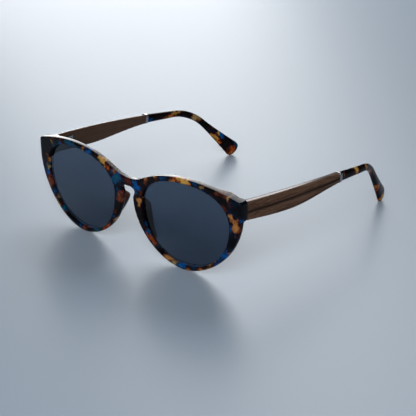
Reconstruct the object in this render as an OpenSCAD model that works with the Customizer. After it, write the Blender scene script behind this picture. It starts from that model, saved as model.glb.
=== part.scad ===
// Sunglasses with a bowed acetate front, wooden temple fronts, spring hinges and acetate temple tips.
// Left and right are the wearer's. X runs to the wearer's left, the lenses face -Y, +Z is up.
// The origin is under the middle of the whole object, on the surface that the folded-out glasses stand on.

/* [Lenses] */
// Width of one lens opening
lens_w = 55.4; // [50:0.2:60]
// Height of one lens opening
lens_h = 43.2; // [38:0.2:47]
// Thickness of a lens
lens_t = 1.2; // [1:0.1:1.5]
// Radius of the lens's front sphere
lens_r = 265; // [240:5:320]
// How far the lens edge reaches into the rim
groove_depth = 0.6; // [0.4:0.1:0.9]
// Setback of the lens's middle from the front face of the rim
lens_set = 0.9; // [0.5:0.05:1]
// Gap between a lens and its groove
lens_fit = 0.05; // [0.02:0.01:0.1]

/* [Front] */
// Gap between the two lens openings at the nose
bridge_w = 19.2; // [18:0.2:22]
// Gap between the rims at the neck of the nose notch
nose_gap = 7.8; // [7:0.2:8.8]
// Widest part of the keyhole under the bridge
keyhole_w = 9.9; // [9.2:0.1:10.5]
// Height of the bridge between its top and the keyhole
bridge_h = 4.1; // [3:0.1:5]
// Drop of the bridge's top below the top of the lens openings
bridge_drop = 6.3; // [5:0.1:7.5]
// Rim width above a lens
rim_top = 2.4; // [1.8:0.1:3.4]
// Rim width below a lens
rim_bottom = 2.4; // [1.8:0.1:3.4]
// Rim width from a lens opening to the outer side of the front
rim_temple = 6.8; // [6:0.1:8]
// Thickness of the front
front_t = 3.4; // [3.3:0.1:4.2]
// Depth of the bow from the middle of the front to its ends
bow = 4.8; // [3.5:0.1:6]
// Forward lean of the front in degrees
lean = 0.6; // [0:0.1:4]

/* [End pieces] */
// Depth of an end piece at the level of the hinge
end_depth = 5.1; // [4.8:0.1:6]
// Height of an end piece
end_h = 10.2; // [9:0.1:11]
// Drop of an end piece's top below the top of the lens openings
end_drop = 2; // [1:0.1:2.5]
// Length of the thick part of an end piece
end_len = 9.2; // [9:0.1:10]
// Length of the slope from the rim up to the thick part
end_taper = 5; // [3:0.1:7]
// Radius of the outer top corner
end_r = 1.5; // [1:0.1:3]

/* [Nose pads] */
// How far a pad stands out behind the rim
pad_out = 6; // [5:0.1:7]
// Radius of a pad's rounded edges
pad_r = 2.2; // [1.8:0.1:2.5]
// Height of a pad between the centres of its rounded ends
pad_h = 18.5; // [16:0.5:20]
// How far a pad's lower end spreads outwards
pad_spread = 8.6; // [7.4:0.1:9.4]

/* [Wooden temple] */
// Length of the wooden part
wood_len = 70.4; // [64:0.2:78]
// Height of the wood where it meets the front
wood_h = 9.5; // [9:0.1:11]
// Thickness of the wood
wood_t = 3.6; // [3.4:0.1:4.2]
// Radius of the wood's outward bow, seen from above
wood_bow_r = 390; // [350:5:600]
// Distance of the bow's widest point from the butt face
wood_bow_y = 37.5; // [34:0.5:40]
// Step from the side of the end piece in to the wood's outer face
wood_inset = 0.3; // [0.1:0.05:0.4]
// Step from the top of the end piece down to the top of the wood
wood_step = 0.8; // [0.4:0.1:1.2]
// Drop of the wood's middle line from the front to the collar
wood_drop = 3.5; // [3:0.1:4.5]
// Depth of the belly below the wood's front lower corner
belly = 2.9; // [2:0.1:4]
// Gap at the butt joint between wood and end piece
butt_gap = 0.03; // [0.02:0.01:0.1]

/* [Collar, tip and wire] */
// Length of the metal collar
ring_len = 2; // [1.5:0.1:3]
// How far the collar stands proud of the wood
ring_proud = 0.2; // [0.1:0.05:0.4]
// Height of the tip behind the collar
tip_h = 5.1; // [4.8:0.1:6]
// Height of the tip at the bend
tip_neck = 3.9; // [3.4:0.1:4.6]
// Thickness of the tip at the bend
tip_neck_t = 3.2; // [2.8:0.1:3.6]
// Height of the tip at its rounded end
tip_end_h = 9.2; // [8:0.1:10.5]
// Thickness of the tip at its end
tip_end_t = 3.4; // [3:0.1:4]
// Length of the rounded end
tip_cap = 3.6; // [3:0.1:4.4]
// Slope of the tip before the bend in degrees
tip_slope = 5.5; // [4:0.5:7]
// Length of the tip before the bend
tip_run = 21; // [18:0.5:24]
// Radius of the bend over the ear
bend_r = 28; // [20:0.5:34]
// Angle of the bend over the ear in degrees
bend = 41; // [36:0.5:46]
// Angle of the tail's inward turn in degrees, seen from above
wrap = 20; // [16:0.5:24]
// Radius of the inward turn
wrap_r = 40; // [32:1:50]
// Distance of the inward turn from the collar
wrap_from = 19.6; // [16:0.2:24]
// Diameter of the core wire
wire_d = 1.4; // [1.2:0.1:1.6]
// Length of the core wire in the wood
wire_in_wood = 9; // [6:0.5:14]
// Length of the core wire in the tip
wire_in_tip = 54; // [40:1:58]
// Gap round the core wire
wire_fit = 0.06; // [0.04:0.01:0.1]

/* [Hinges] */
// Distance of the hinge axis from the inner face of the wood
hinge_in = 2.2; // [2.1:0.05:2.5]
// Distance of the hinge axis behind the butt face
hinge_back = 1.9; // [1.85:0.05:2.2]
// Height of the hinge's middle below the top of the end piece
hinge_drop = 6.1; // [5.6:0.1:6.4]
// Diameter of the knuckles
knuckle_d = 3; // [2.8:0.1:3.2]
// Height of the middle knuckle
knuckle_mid = 2; // [1.8:0.1:2.4]
// Height of an outer knuckle
knuckle_out = 1.5; // [1.2:0.1:1.7]
// Gap between knuckles
knuckle_gap = 0.06; // [0.04:0.01:0.1]
// Diameter of the hinge screw
screw_d = 1.4; // [1.2:0.1:1.6]
// Diameter of the hinge screw's head
screw_head_d = 2.2; // [2:0.1:2.6]
// Height of the hinge screw's head
screw_head_h = 0.6; // [0.5:0.1:0.8]
// Radial gap between the hinge screw and the knuckles
screw_fit = 0.05; // [0.02:0.01:0.08]
// Width of the hinge plate in the end piece
plate_w = 5.2; // [4.6:0.1:5.6]
// Thickness of the hinge plate
plate_t = 1; // [0.8:0.1:1.2]
// How far the neck between knuckle and shaft is wider than the shaft, each side
neck_land = 0.1; // [0.05:0.05:0.2]

/* [Spring boxes] */
// Gap from the hinge axis to the spring box
box_gap = 1.9; // [1.8:0.05:2.2]
// Length of the spring box
box_len = 6.2; // [6.1:0.1:7]
// Height of the spring box and its flange
box_h = 4; // [3.8:0.1:4.4]
// Length of the flange behind the spring box
flange_len = 5.2; // [5:0.1:6]
// Thickness of the flange
flange_t = 1.2; // [1:0.1:1.4]
// Depth of the seat for box and flange in the wood
seat_depth = 0.4; // [0.3:0.05:0.6]
// Gap round the seats of the hinge parts
seat_fit = 0.03; // [0.02:0.01:0.06]
// Distance of the spring box's nose side from the hinge axis
box_side = 1.2; // [1.1:0.05:1.3]
// Wall of the spring box on the nose side
box_wall = 0.5; // [0.4:0.05:0.6]
// Diameter of the spring bore
bore_d = 2.8; // [2.6:0.1:2.9]
// Diameter of the slider's shaft
shaft_d = 1.2; // [1:0.1:1.3]
// Radial gap between the shaft and its stop bush
shaft_fit = 0.05; // [0.02:0.01:0.08]
// Length of the stop bush
stop_len = 1; // [0.8:0.1:1.1]
// Radial gap between the stop bush and the spring bore
stop_fit = 0.02; // [0.01:0.01:0.04]
// Wire diameter of the spring
spring_wire = 0.35; // [0.3:0.01:0.36]
// Length of the spring
spring_len = 3.6; // [3.55:0.05:3.7]
// Turns of the spring
spring_turns = 4; // [3:0.5:4]
// Length of the slider's nut
nut_len = 0.8; // [0.6:0.1:0.9]
// Radial gap between the nut and the spring bore
nut_clear = 0.2; // [0.15:0.05:0.3]
// Radial gap between the nut and the shaft
nut_fit = 0.01; // [0.01:0.01:0.03]
// Diameter of the flange screws
wood_screw_d = 1; // [0.8:0.1:1.2]
// Diameter of the flange screws' heads
wood_screw_head_d = 1.9; // [1.7:0.1:2.2]
// Height of the flange screws' heads
wood_screw_head_h = 0.5; // [0.4:0.1:0.6]
// Depth of the flange screws in the wood
wood_screw_in = 2.2; // [1.6:0.1:2.6]
// Distance between the flange screws
wood_screw_pitch = 2.6; // [2.4:0.1:2.8]

/* [Hidden] */
$fn = 48;

// Overlap of cutting shapes, length of through cuts, step for tangents, sides of the large cylinders
over = 0.5;
through = 60;
step = 0.05;
smooth = 1200;

// Colours
acetate = "#38262a";
tip_acetate = "#2c2422";
walnut = "#735c4c";
smoke = "#4a5668";
silver = "#c4c6c8";
steel = "#9a9ca0";

// Lens opening
open_in = bridge_w / 2;
open_out = open_in + lens_w;
open_top = rim_bottom + lens_h;
lens_mid_x = open_in + lens_w / 2;
lens_mid_z = rim_bottom + lens_h / 2;
lens_wide_share = 0.61;
lens_peak_share = 0.53;
lens_low_share = 0.46;
lens_wide_z = rim_bottom + lens_wide_share * lens_h;
lens_peak_x = open_in + lens_peak_share * lens_w;
lens_low_x = open_in + lens_low_share * lens_w;
lens_powers = [2.35, 2.15, 2.15, 2.08];

// Outline of the front
half_w = open_out + rim_temple;
front_top = open_top + rim_top;
peak_share = 0.565;
low_share = 0.485;
side_share = 0.73;
neck_share = 0.62;
peak_x = open_in + peak_share * lens_w;
low_x = open_in + low_share * lens_w;
side_z = side_share * front_top;
neck_z = neck_share * front_top;
bridge_top = open_top - bridge_drop;
keyhole_top = bridge_top - bridge_h;
keyhole_round = 2.2;
keyhole_power = 2.6;
keyhole_mid = keyhole_top - keyhole_round;
end_top = open_top - end_drop;
end_bottom = end_top - end_h;
rim_power = 1.85;
curve_steps = 12;

// Handles of the brow curve: shares of the peak's distance, then lengths at the shoulder over the end piece
brow_in = 0.32 * peak_x;
brow_out = 0.34 * peak_x;
shoulder_in = 10;
shoulder_out = 11.5;
shoulder_up = 2.8;

// Nose pad: it starts beside the neck, follows the rim down towards the lens and stands out most in its
// upper half. The powers set where it turns and where its crest lies
pad_start_share = 0.55;
pad_x = mix(nose_gap / 2, open_in, pad_start_share) + pad_spread / 2;
pad_turn_power = 1.7;
pad_crest_power = 0.48;
pad_taper = 0.4;
pad_steps = 8;
pad_gap = 0.05;
function pad_at(t, share) = [
    pad_spread * (pow(t, pad_turn_power) - 0.5),
    share * (pad_out - pad_r) * sin(180 * pow(t, pad_crest_power)),
    neck_z - pad_h * t
];
function pad_round(t) = pad_r * (1 - pad_taper * t);

// Bow and lean: the front face is a cylinder, and the whole front leans about its lower front edge
bow_r = (half_w * half_w + bow * bow) / (2 * bow);
function bow_y(x) = bow_r - bow - sqrt(bow_r * bow_r - x * x);
low_y = bow_y(low_x);
hinge_z = end_top - hinge_drop;
front_y = -end_depth + hinge_z * sin(lean) - low_y * (1 - cos(lean));

// Temple, measured from the butt face of the end piece at Y 0; its faces are cylinders about an upright axis
temple_out = half_w - wood_inset;
bow_axis = [temple_out - sqrt(wood_bow_r * wood_bow_r - wood_bow_y * wood_bow_y), wood_bow_y];
function wood_x(y, r) = bow_axis.x + sqrt(r * r - pow(y - bow_axis.y, 2));
temple_in = wood_x(0, wood_bow_r - wood_t);
ring_turn = asin((wood_len - wood_bow_y) / wood_bow_r);
ring_x = wood_x(wood_len, wood_bow_r - wood_t / 2);
wood_top = end_top - wood_step;
wood_bottom = wood_top - wood_h;
ring_z = wood_top - wood_h / 2 - wood_drop;
belly_y = wood_len / 2;
belly_z = wood_bottom - belly;

// Hinge: lengths along the spring box count from the hinge axis, in a frame turned outwards with the wood
axis_x = temple_in - hinge_in;
axis_y = hinge_back;
knuckle_r = knuckle_d / 2;
stack = knuckle_mid / 2 + knuckle_gap + knuckle_out;
flange_y = box_gap + box_len;
box_turn = asin((wood_bow_y - axis_y - (flange_y + flange_len) / 2) / wood_bow_r);
seat_x = wood_bow_r - wood_t - (axis_x - bow_axis.x) * cos(box_turn) + (axis_y - bow_axis.y) * sin(box_turn);
shaft_x = -box_side + box_wall + bore_d / 2;
box_out = seat_x + seat_depth;
flange_in = box_out - flange_t;
spring_y = box_gap + stop_len;
nut_y = spring_y + spring_len;
wood_screw_y = [flange_y + flange_len / 2 - wood_screw_pitch / 2,
                flange_y + flange_len / 2 + wood_screw_pitch / 2];

// Tip centre line: a straight run, a bend over the ear and a straight tail down to the table
ring_dir = unit([-tan(ring_turn) * cos(tip_slope), cos(tip_slope), -sin(tip_slope)]);
tip_start = [ring_x, wood_len, ring_z] + ring_len * ring_dir;
tail_slope = tip_slope + bend;
bend_len = bend_r * bend * PI / 180;
bend_y = tip_start.y + tip_run * cos(tip_slope);
bend_z = tip_start.z - tip_run * sin(tip_slope);
tail_y = bend_y + bend_r * (sin(tail_slope) - sin(tip_slope));
tail_z = bend_z - bend_r * (cos(tip_slope) - cos(tail_slope));
tail_dir = unit([-tan(wrap) * cos(tail_slope), cos(tail_slope), -sin(tail_slope)]);
tail_up = cross(flat_side(tail_dir), tail_dir);
cap_power = 2.6;
cap_dual = cap_power / (cap_power - 1);
cap_drop = pow(pow(tip_end_h / 2 * tail_up.z, cap_dual) + pow(tip_cap * sin(tail_slope), cap_dual),
               1 / cap_dual);
tail_len = (tail_z - cap_drop) / sin(tail_slope);
flare_from = tip_run + bend_len;
cap_from = flare_from + tail_len;
tip_sides = 20;
tip_power = 2.3;
flare_power = 1.35;
wire_sides = 8;

function unit(v) = v / norm(v);
function flat_side(v) = unit([v.y, -v.x, 0]);
function signed_pow(v, e) = sign(v) * pow(abs(v), e);
function mix(a, b, t) = a + (b - a) * t;

// Points of a quarter of a superellipse from angle a0 to a1, without the last point
function quarter(centre, half, power, a0, a1) = [
    for (i = [0 : curve_steps - 1])
        let (a = a0 + (a1 - a0) * i / curve_steps)
        [centre.x + half.x * signed_pow(cos(a), 2 / power),
         centre.y + half.y * signed_pow(sin(a), 2 / power)]
];

// Points of a cubic curve, without the last point
function cubic(p, q, r, s) = [
    for (i = [0 : curve_steps - 1])
        let (t = i / curve_steps, u = 1 - t)
        u * u * u * p + 3 * u * u * t * q + 3 * u * t * t * r + t * t * t * s
];

// Lens opening grown by g
function lens_outline(g) = concat(
    quarter([lens_peak_x, lens_wide_z], [open_out - lens_peak_x + g, open_top - lens_wide_z + g],
            lens_powers[0], 0, 90),
    quarter([lens_peak_x, lens_wide_z], [lens_peak_x - open_in + g, open_top - lens_wide_z + g],
            lens_powers[1], 90, 180),
    quarter([lens_low_x, lens_wide_z], [lens_low_x - open_in + g, lens_wide_z - rim_bottom + g],
            lens_powers[2], 180, 270),
    quarter([lens_low_x, lens_wide_z], [open_out - lens_low_x + g, lens_wide_z - rim_bottom + g],
            lens_powers[3], 270, 360)
);

// Half of the front's outline, from the top of the bridge round the rim to the top of the keyhole
half_outline = concat(
    cubic([0, bridge_top], [brow_in, bridge_top], [brow_out, front_top], [peak_x, front_top]),
    cubic([peak_x, front_top], [peak_x + shoulder_in, front_top],
          [half_w - shoulder_out, end_top + shoulder_up], [half_w - end_r, end_top]),
    quarter([half_w - end_r, end_top - end_r], [end_r, end_r], 2, 90, 0),
    quarter([low_x, side_z], [half_w - low_x, side_z], rim_power, 0, -90),
    quarter([low_x, neck_z], [low_x - nose_gap / 2, neck_z], rim_power, -90, -180),
    cubic([nose_gap / 2, neck_z], [nose_gap / 2, mix(neck_z, keyhole_mid, 0.4)],
          [keyhole_w / 2, mix(neck_z, keyhole_mid, 0.6)], [keyhole_w / 2, keyhole_mid]),
    quarter([0, keyhole_mid], [keyhole_w / 2, keyhole_round], keyhole_power, 0, 90),
    [[0, keyhole_top]]
);
front_outline = concat(half_outline,
    [for (i = [len(half_outline) - 2 : -1 : 1]) [-half_outline[i].x, half_outline[i].y]]);

// Wood seen from the side; it runs past the collar's face, which cuts it. The handles are shares of its
// length, and shares of the drop to the collar or to the belly
top_drops = [0.26, 0.6];
belly_reach = [0.8, 0.65];
jaw_reach = [0.34, 0.17];
jaw_drop = 0.41;
past = 2;
past_drop = past * tan(tip_slope);
ring_top = ring_z + tip_h / 2;
ring_bottom = ring_z - tip_h / 2;
wood_past = wood_len + past;
wood_outline = concat(
    cubic([butt_gap, wood_top], [wood_len / 3, mix(wood_top, ring_top, top_drops[0])],
          [wood_len * 2 / 3, mix(wood_top, ring_top, top_drops[1])], [wood_len, ring_top]),
    [[wood_len, ring_top], [wood_past, ring_top - past_drop],
     [wood_past, ring_bottom - past_drop]],
    cubic([wood_len, ring_bottom], [wood_len * belly_reach[0], ring_bottom],
          [wood_len * belly_reach[1], belly_z], [belly_y, belly_z]),
    cubic([belly_y, belly_z], [wood_len * jaw_reach[0], belly_z],
          [wood_len * jaw_reach[1], mix(wood_bottom, belly_z, jaw_drop)], [butt_gap, wood_bottom]),
    [[butt_gap, wood_bottom]]
);

// Tip centre line at length s behind the collar; negative lengths run back into the wood
function tip_yz(s) =
    s < tip_run ? [tip_start.y + s * cos(tip_slope), tip_start.z - s * sin(tip_slope)]
    : s < tip_run + bend_len ?
        let (a = tip_slope + (s - tip_run) / bend_r * 180 / PI)
        [bend_y + bend_r * (sin(a) - sin(tip_slope)), bend_z - bend_r * (cos(tip_slope) - cos(a))]
    : let (t = s - tip_run - bend_len) [tail_y + t * cos(tail_slope), tail_z - t * sin(tail_slope)];
wrap_y = wood_len + wrap_from;
wrap_end = wrap_y + wrap_r * (sin(wrap) - sin(ring_turn));
function tip_inset(y) =
    y < wrap_y ? (y - wood_len) * tan(ring_turn)
    : y < wrap_end ?
        let (a = asin(sin(ring_turn) + (y - wrap_y) / wrap_r))
        wrap_from * tan(ring_turn) + wrap_r * (cos(ring_turn) - cos(a))
    : wrap_from * tan(ring_turn) + wrap_r * (cos(ring_turn) - cos(wrap)) + (y - wrap_end) * tan(wrap);
function tip_point(s) = let (p = tip_yz(s)) [ring_x - tip_inset(p[0]), p[0], p[1]];
function tip_dir(s) = unit(tip_point(s + step) - tip_point(s - step));

// Half height and half thickness of the tip at length s
function tip_half_h(s) =
    s < tip_run ? mix(tip_h, tip_neck, s / tip_run) / 2
    : mix(tip_neck, tip_end_h, pow(max(0, s - flare_from) / tail_len, flare_power)) / 2;
function tip_half_t(s) =
    s < tip_run ? mix(wood_t, tip_neck_t, s / tip_run) / 2
    : mix(tip_neck_t, tip_end_t, max(0, s - flare_from) / tail_len) / 2;

// Ring of points round the centre line
function tip_ring(s, half_t, half_h, power, sides) =
    let (p = tip_point(s), d = tip_dir(s), n = flat_side(d), w = cross(n, d))
    [for (i = [0 : sides - 1])
        let (a = 360 * i / sides)
        p + n * half_t * signed_pow(cos(a), 2 / power) + w * half_h * signed_pow(sin(a), 2 / power)];

// Lengths at which rings are set: evenly along the tip, then closer round its end
tip_steps = [for (i = [0 : 24]) cap_from * i / 24];
cap_angles = [10, 25, 40, 55, 70, 82];
tip_outer = concat(
    [for (s = tip_steps) tip_ring(s, tip_half_t(s), tip_half_h(s), tip_power, tip_sides)],
    [for (a = cap_angles)
        let (along = pow(sin(a), 2 / cap_power), across = pow(cos(a), 2 / cap_power))
        tip_ring(cap_from + tip_cap * along, tip_end_t / 2 * across, tip_end_h / 2 * across,
                 tip_power, tip_sides)]
);
wire_steps = [for (i = [0 : 20]) wire_in_tip * i / 20];
wire_r = wire_d / 2;
channel_r = (wire_r + wire_fit) / cos(180 / tip_sides);
tip_channel = [for (i = [20 : -1 : 0]) tip_ring(wire_steps[i], channel_r, channel_r, 2, tip_sides)];
wire_rings = concat(
    [tip_ring(-ring_len - wire_in_wood + wire_fit, wire_r, wire_r, 2, wire_sides)],
    [for (s = wire_steps) tip_ring(min(s, wire_in_tip - wire_fit), wire_r, wire_r, 2, wire_sides)]
);

// Spring along Y round the slider's shaft, a little nearer the bore than the shaft
spring_out = 0.05;
spring_r = (bore_d + shaft_d) / 4 + spring_out;
spring_pitch = (spring_len - spring_wire) / spring_turns;
spring_rings = [
    for (i = [0 : 8 * spring_turns])
        let (a = 45 * i, e = [cos(a), 0, sin(a)])
        [for (k = [0 : 5])
            [shaft_x, spring_y + spring_wire / 2 + spring_pitch * i / 8, 0] + e * spring_r
            + spring_wire / 2 * (cos(60 * k) * e + sin(60 * k) * [0, 1, 0])]
];
spring_centres = [for (r = spring_rings) (r[0] + r[3]) / 2];
spring_self_gap = min([for (i = [0 : len(spring_centres) - 1], j = [i + 5 : len(spring_centres) - 1])
    norm(spring_centres[i] - spring_centres[j])]) - spring_wire;
echo(spring_self_gap = spring_self_gap);

// The middle of the whole depth, from the bridge's front to the back of the tips
front_most = front_y + low_y + (-bow - low_y) * cos(lean) - bridge_top * sin(lean);
rear_most = max([for (r = tip_outer) for (p = r) p.y]);
origin_y = (front_most + rear_most) / 2;

// Frames
module at_origin() { translate([0, -origin_y, 0]) children(); }
module leaning() {
    translate([0, front_y + low_y, 0]) rotate([lean, 0, 0]) translate([0, -low_y, 0]) children();
}
module at_hinge() { translate([axis_x, axis_y, hinge_z]) children(); }
module at_shaft() { at_box() translate([shaft_x, 0, 0]) children(); }
module at_box() { at_hinge() rotate([0, 0, -box_turn]) children(); }
module at_ring() {
    translate([ring_x, wood_len, ring_z]) rotate([-asin(-ring_dir.z), 0, ring_turn]) children();
}
module right_side() { mirror([1, 0, 0]) children(); }

// Shapes
module along_y(points, depth) { rotate([90, 0, 0]) linear_extrude(depth, center = true) polygon(points); }
module rod_y(r, from, to) { translate([0, from, 0]) rotate([-90, 0, 0]) cylinder(r = r, h = to - from); }
module rod_x(r, from, to) { translate([from, 0, 0]) rotate([0, 90, 0]) cylinder(r = r, h = to - from); }
module block(low, high) { translate(low) cube(high - low); }
module bow_cylinder(inset) {
    translate([0, bow_r - bow, -over]) cylinder(r = bow_r - inset, h = front_top + 2 * over, $fn = smooth);
}

module wood_cylinder(inset) {
    translate([bow_axis.x, bow_axis.y, belly_z - over])
        cylinder(r = wood_bow_r - inset, h = wood_top - belly_z + 2 * over, $fn = smooth);
}

// Closed skin through rings of equal count, with a flat cap at each end
module skin(rings) {
    m = len(rings[0]);
    n = len(rings);
    sides = [for (i = [0 : n - 2], j = [0 : m - 1]) let (k = (j + 1) % m)
        each [[i * m + j, (i + 1) * m + k, (i + 1) * m + j], [i * m + j, i * m + k, (i + 1) * m + k]]];
    caps = [for (j = [1 : m - 2]) each [[0, j + 1, j], [(n - 1) * m, (n - 1) * m + j, (n - 1) * m + j + 1]]];
    polyhedron(points = [for (r = rings) each r], faces = concat(sides, caps));
}

// Lens between two spheres, grown by g for its groove
lens_turn = asin(lens_mid_x / bow_r);
module lens_shell(g) {
    intersection() {
        along_y(lens_outline(groove_depth + g), through);
        translate([lens_mid_x, bow_y(lens_mid_x), lens_mid_z]) rotate([0, 0, lens_turn])
            translate([0, lens_set + lens_r, 0]) difference() {
                sphere(r = lens_r + g, $fn = 200);
                sphere(r = lens_r - lens_t - g, $fn = 200);
            }
    }
}

module front_half_cuts() {
    along_y(lens_outline(0), through);
    lens_shell(lens_fit);
}

// Space behind the rim that an end piece fills, with its slope towards the lens
module end_block() {
    full_x = half_w - end_len;
    slope_x = full_x - end_taper;
    full_y = end_depth + over;
    translate([0, 0, end_bottom]) linear_extrude(front_top - end_bottom + over) polygon([
        [slope_x, -bow], [slope_x, bow_y(slope_x) + front_t], [full_x, full_y],
        [full_x, 2 * full_y], [half_w + over, 2 * full_y], [half_w + over, -bow]
    ]);
}

// Bowed front with a block at each end, lens grooves and seats for the hinge plates
module front_frame() {
    color(acetate) at_origin() difference() {
        leaning() difference() {
            intersection() {
                along_y(front_outline, through);
                bow_cylinder(0);
            }
            difference() {
                bow_cylinder(front_t);
                end_block();
                right_side() end_block();
            }
            front_half_cuts();
            right_side() front_half_cuts();
        }
        block([-half_w - over, 0, -over], [half_w + over, through, front_top + over]);
        hinge_plate(seat_fit);
        right_side() hinge_plate(seat_fit);
    }
}

module lens() { color(smoke, 0.7) at_origin() leaning() lens_shell(0); }
module lens_left() { lens(); }
module lens_right() { right_side() lens(); }

// Pad behind the rim, along the side of the nose notch, filled from the rim to its crest
module nose_pad() {
    color(acetate) at_origin() leaning() translate([pad_x, bow_y(pad_x) + front_t, 0])
        rotate([0, 0, asin(pad_x / bow_r)]) difference() {
            for (i = [1 : pad_steps]) hull()
                for (t = [(i - 1) / pad_steps, i / pad_steps], share = [0, 1])
                    translate(pad_at(t, share)) sphere(r = pad_round(t), $fn = 24);
            block([-through, -through, 0], [through, pad_gap, through]);
        }
}
module nose_pad_left() { nose_pad(); }
module nose_pad_right() { right_side() nose_pad(); }

// Plate sunk in the end piece's butt face
module hinge_plate(g) {
    at_hinge() block([-plate_w / 2 - g, -axis_y - plate_t - g, -stack - g],
                     [plate_w / 2 + g, -axis_y + (g > 0 ? over : 0), stack + g]);
}

module knuckle(low, high) {
    at_hinge() translate([0, 0, low]) cylinder(r = knuckle_r, h = high - low);
}

module screw_bore() {
    at_hinge() translate([0, 0, -stack - over])
        cylinder(r = screw_d / 2 + screw_fit, h = 2 * stack + 2 * over);
}

// Plate with two knuckles
module front_hinge() {
    color(steel) at_origin() difference() {
        union() {
            hinge_plate(0);
            for (low = [-stack, stack - knuckle_out]) {
                knuckle(low, low + knuckle_out);
                at_hinge() block([-knuckle_r, -axis_y, low], [knuckle_r, 0, low + knuckle_out]);
            }
        }
        screw_bore();
    }
}
module front_hinge_left() { front_hinge(); }
module front_hinge_right() { right_side() front_hinge(); }

module hinge_screw() {
    color(silver) at_origin() at_hinge() {
        translate([0, 0, -stack]) cylinder(r = screw_d / 2, h = 2 * stack);
        translate([0, 0, stack]) cylinder(r = screw_head_d / 2, h = screw_head_h);
    }
}
module hinge_screw_left() { hinge_screw(); }
module hinge_screw_right() { right_side() hinge_screw(); }

// Middle knuckle with a neck and a round shaft for the spring
module hinge_slider() {
    neck = shaft_d / 2 + neck_land;
    color(silver) at_origin() difference() {
        union() {
            knuckle(-knuckle_mid / 2, knuckle_mid / 2);
            at_box() block([shaft_x - neck, 0, -knuckle_mid / 2],
                           [shaft_x + neck, box_gap - seat_fit, knuckle_mid / 2]);
            at_shaft() rod_y(shaft_d / 2, box_gap - seat_fit, nut_y + nut_len);
        }
        screw_bore();
    }
}
module hinge_slider_left() { hinge_slider(); }
module hinge_slider_right() { right_side() hinge_slider(); }

module slider_nut() {
    color(steel) at_origin() at_shaft() difference() {
        rod_y(bore_d / 2 - nut_clear, nut_y, nut_y + nut_len);
        rod_y(shaft_d / 2 + nut_fit, nut_y - over, nut_y + nut_len + over);
    }
}
module slider_nut_left() { slider_nut(); }
module slider_nut_right() { right_side() slider_nut(); }

// Bush that closes the spring bore and guides the shaft
module spring_stop() {
    color(steel) at_origin() at_shaft() difference() {
        rod_y(bore_d / 2 - stop_fit, box_gap, spring_y);
        rod_y(shaft_d / 2 + shaft_fit, box_gap - over, spring_y + over);
    }
}
module spring_stop_left() { spring_stop(); }
module spring_stop_right() { right_side() spring_stop(); }

module hinge_spring() { color(steel) at_origin() at_box() skin(spring_rings); }
module hinge_spring_left() { hinge_spring(); }
module hinge_spring_right() { right_side() hinge_spring(); }

// Outer form of the spring box and its flange, grown by g for the seat in the wood
module housing_form(g) {
    at_box() {
        block([-box_side, box_gap - g, -box_h / 2 - g], [box_out, flange_y + g, box_h / 2 + g]);
        block([flange_in, box_gap, -box_h / 2 - g], [box_out, flange_y + flange_len + g, box_h / 2 + g]);
    }
}

module hinge_housing() {
    color(silver) at_origin() difference() {
        housing_form(0);
        at_shaft() rod_y(bore_d / 2, box_gap - over, flange_y - box_wall);
        at_box() for (y = wood_screw_y)
            translate([0, y, 0]) rod_x(wood_screw_d / 2 + seat_fit, flange_in - over, box_out + over);
    }
}
module hinge_housing_left() { hinge_housing(); }
module hinge_housing_right() { right_side() hinge_housing(); }

module housing_screws() {
    color(steel) at_origin() at_box() for (y = wood_screw_y) translate([0, y, 0]) {
        rod_x(wood_screw_head_d / 2, flange_in - wood_screw_head_h, flange_in);
        rod_x(wood_screw_d / 2, flange_in, box_out + wood_screw_in);
    }
}
module housing_screws_left() { housing_screws(); }
module housing_screws_right() { right_side() housing_screws(); }

// Wooden front part of the temple with the hinge seat, screw holes and the core wire's bore
module wood_temple() {
    color(walnut) at_origin() difference() {
        intersection() {
            translate([temple_in - over, 0, 0]) rotate([90, 0, 90])
                linear_extrude(2 * wood_t) polygon(wood_outline);
            wood_cylinder(0);
        }
        wood_cylinder(wood_t);
        at_ring() block([-wood_h, 0, -wood_h], [wood_h, wood_h, wood_h]);
        housing_form(seat_fit);
        at_box() for (y = wood_screw_y)
            translate([0, y, 0])
                rod_x(wood_screw_d / 2 + seat_fit, flange_in, box_out + wood_screw_in + seat_fit);
        at_ring() rod_y(wire_r + wire_fit, -wire_in_wood, over);
    }
}
module wood_temple_left() { wood_temple(); }
module wood_temple_right() { right_side() wood_temple(); }

// Metal collar between wood and tip
ring_power = 4;
ring_half = [wood_t / 2 + ring_proud, tip_h / 2 + ring_proud];
ring_outline = [for (q = [0 : 3]) each quarter([0, 0], ring_half, ring_power, 90 * q, 90 * q + 90)];
module joint_ring() {
    color(silver) at_origin() at_ring() difference() {
        translate([0, ring_len / 2, 0]) along_y(ring_outline, ring_len);
        rod_y(wire_r + wire_fit, -over, ring_len + over);
    }
}
module joint_ring_left() { joint_ring(); }
module joint_ring_right() { right_side() joint_ring(); }

// Tip with the core wire's blind channel
module temple_tip() { color(tip_acetate) at_origin() skin(concat(tip_channel, tip_outer)); }
module temple_tip_left() { temple_tip(); }
module temple_tip_right() { right_side() temple_tip(); }

module core_wire() { color(steel) at_origin() skin(wire_rings); }
module core_wire_left() { core_wire(); }
module core_wire_right() { right_side() core_wire(); }

front_frame();
lens_left();
lens_right();
nose_pad_left();
nose_pad_right();
front_hinge_left();
front_hinge_right();
hinge_screw_left();
hinge_screw_right();
hinge_slider_left();
hinge_slider_right();
slider_nut_left();
slider_nut_right();
spring_stop_left();
spring_stop_right();
hinge_spring_left();
hinge_spring_right();
hinge_housing_left();
hinge_housing_right();
housing_screws_left();
housing_screws_right();
wood_temple_left();
wood_temple_right();
joint_ring_left();
joint_ring_right();
temple_tip_left();
temple_tip_right();
core_wire_left();
core_wire_right();
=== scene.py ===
"""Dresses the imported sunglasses: bowed acetate front, smoke lenses, wooden temples, sprung hinges."""

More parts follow.
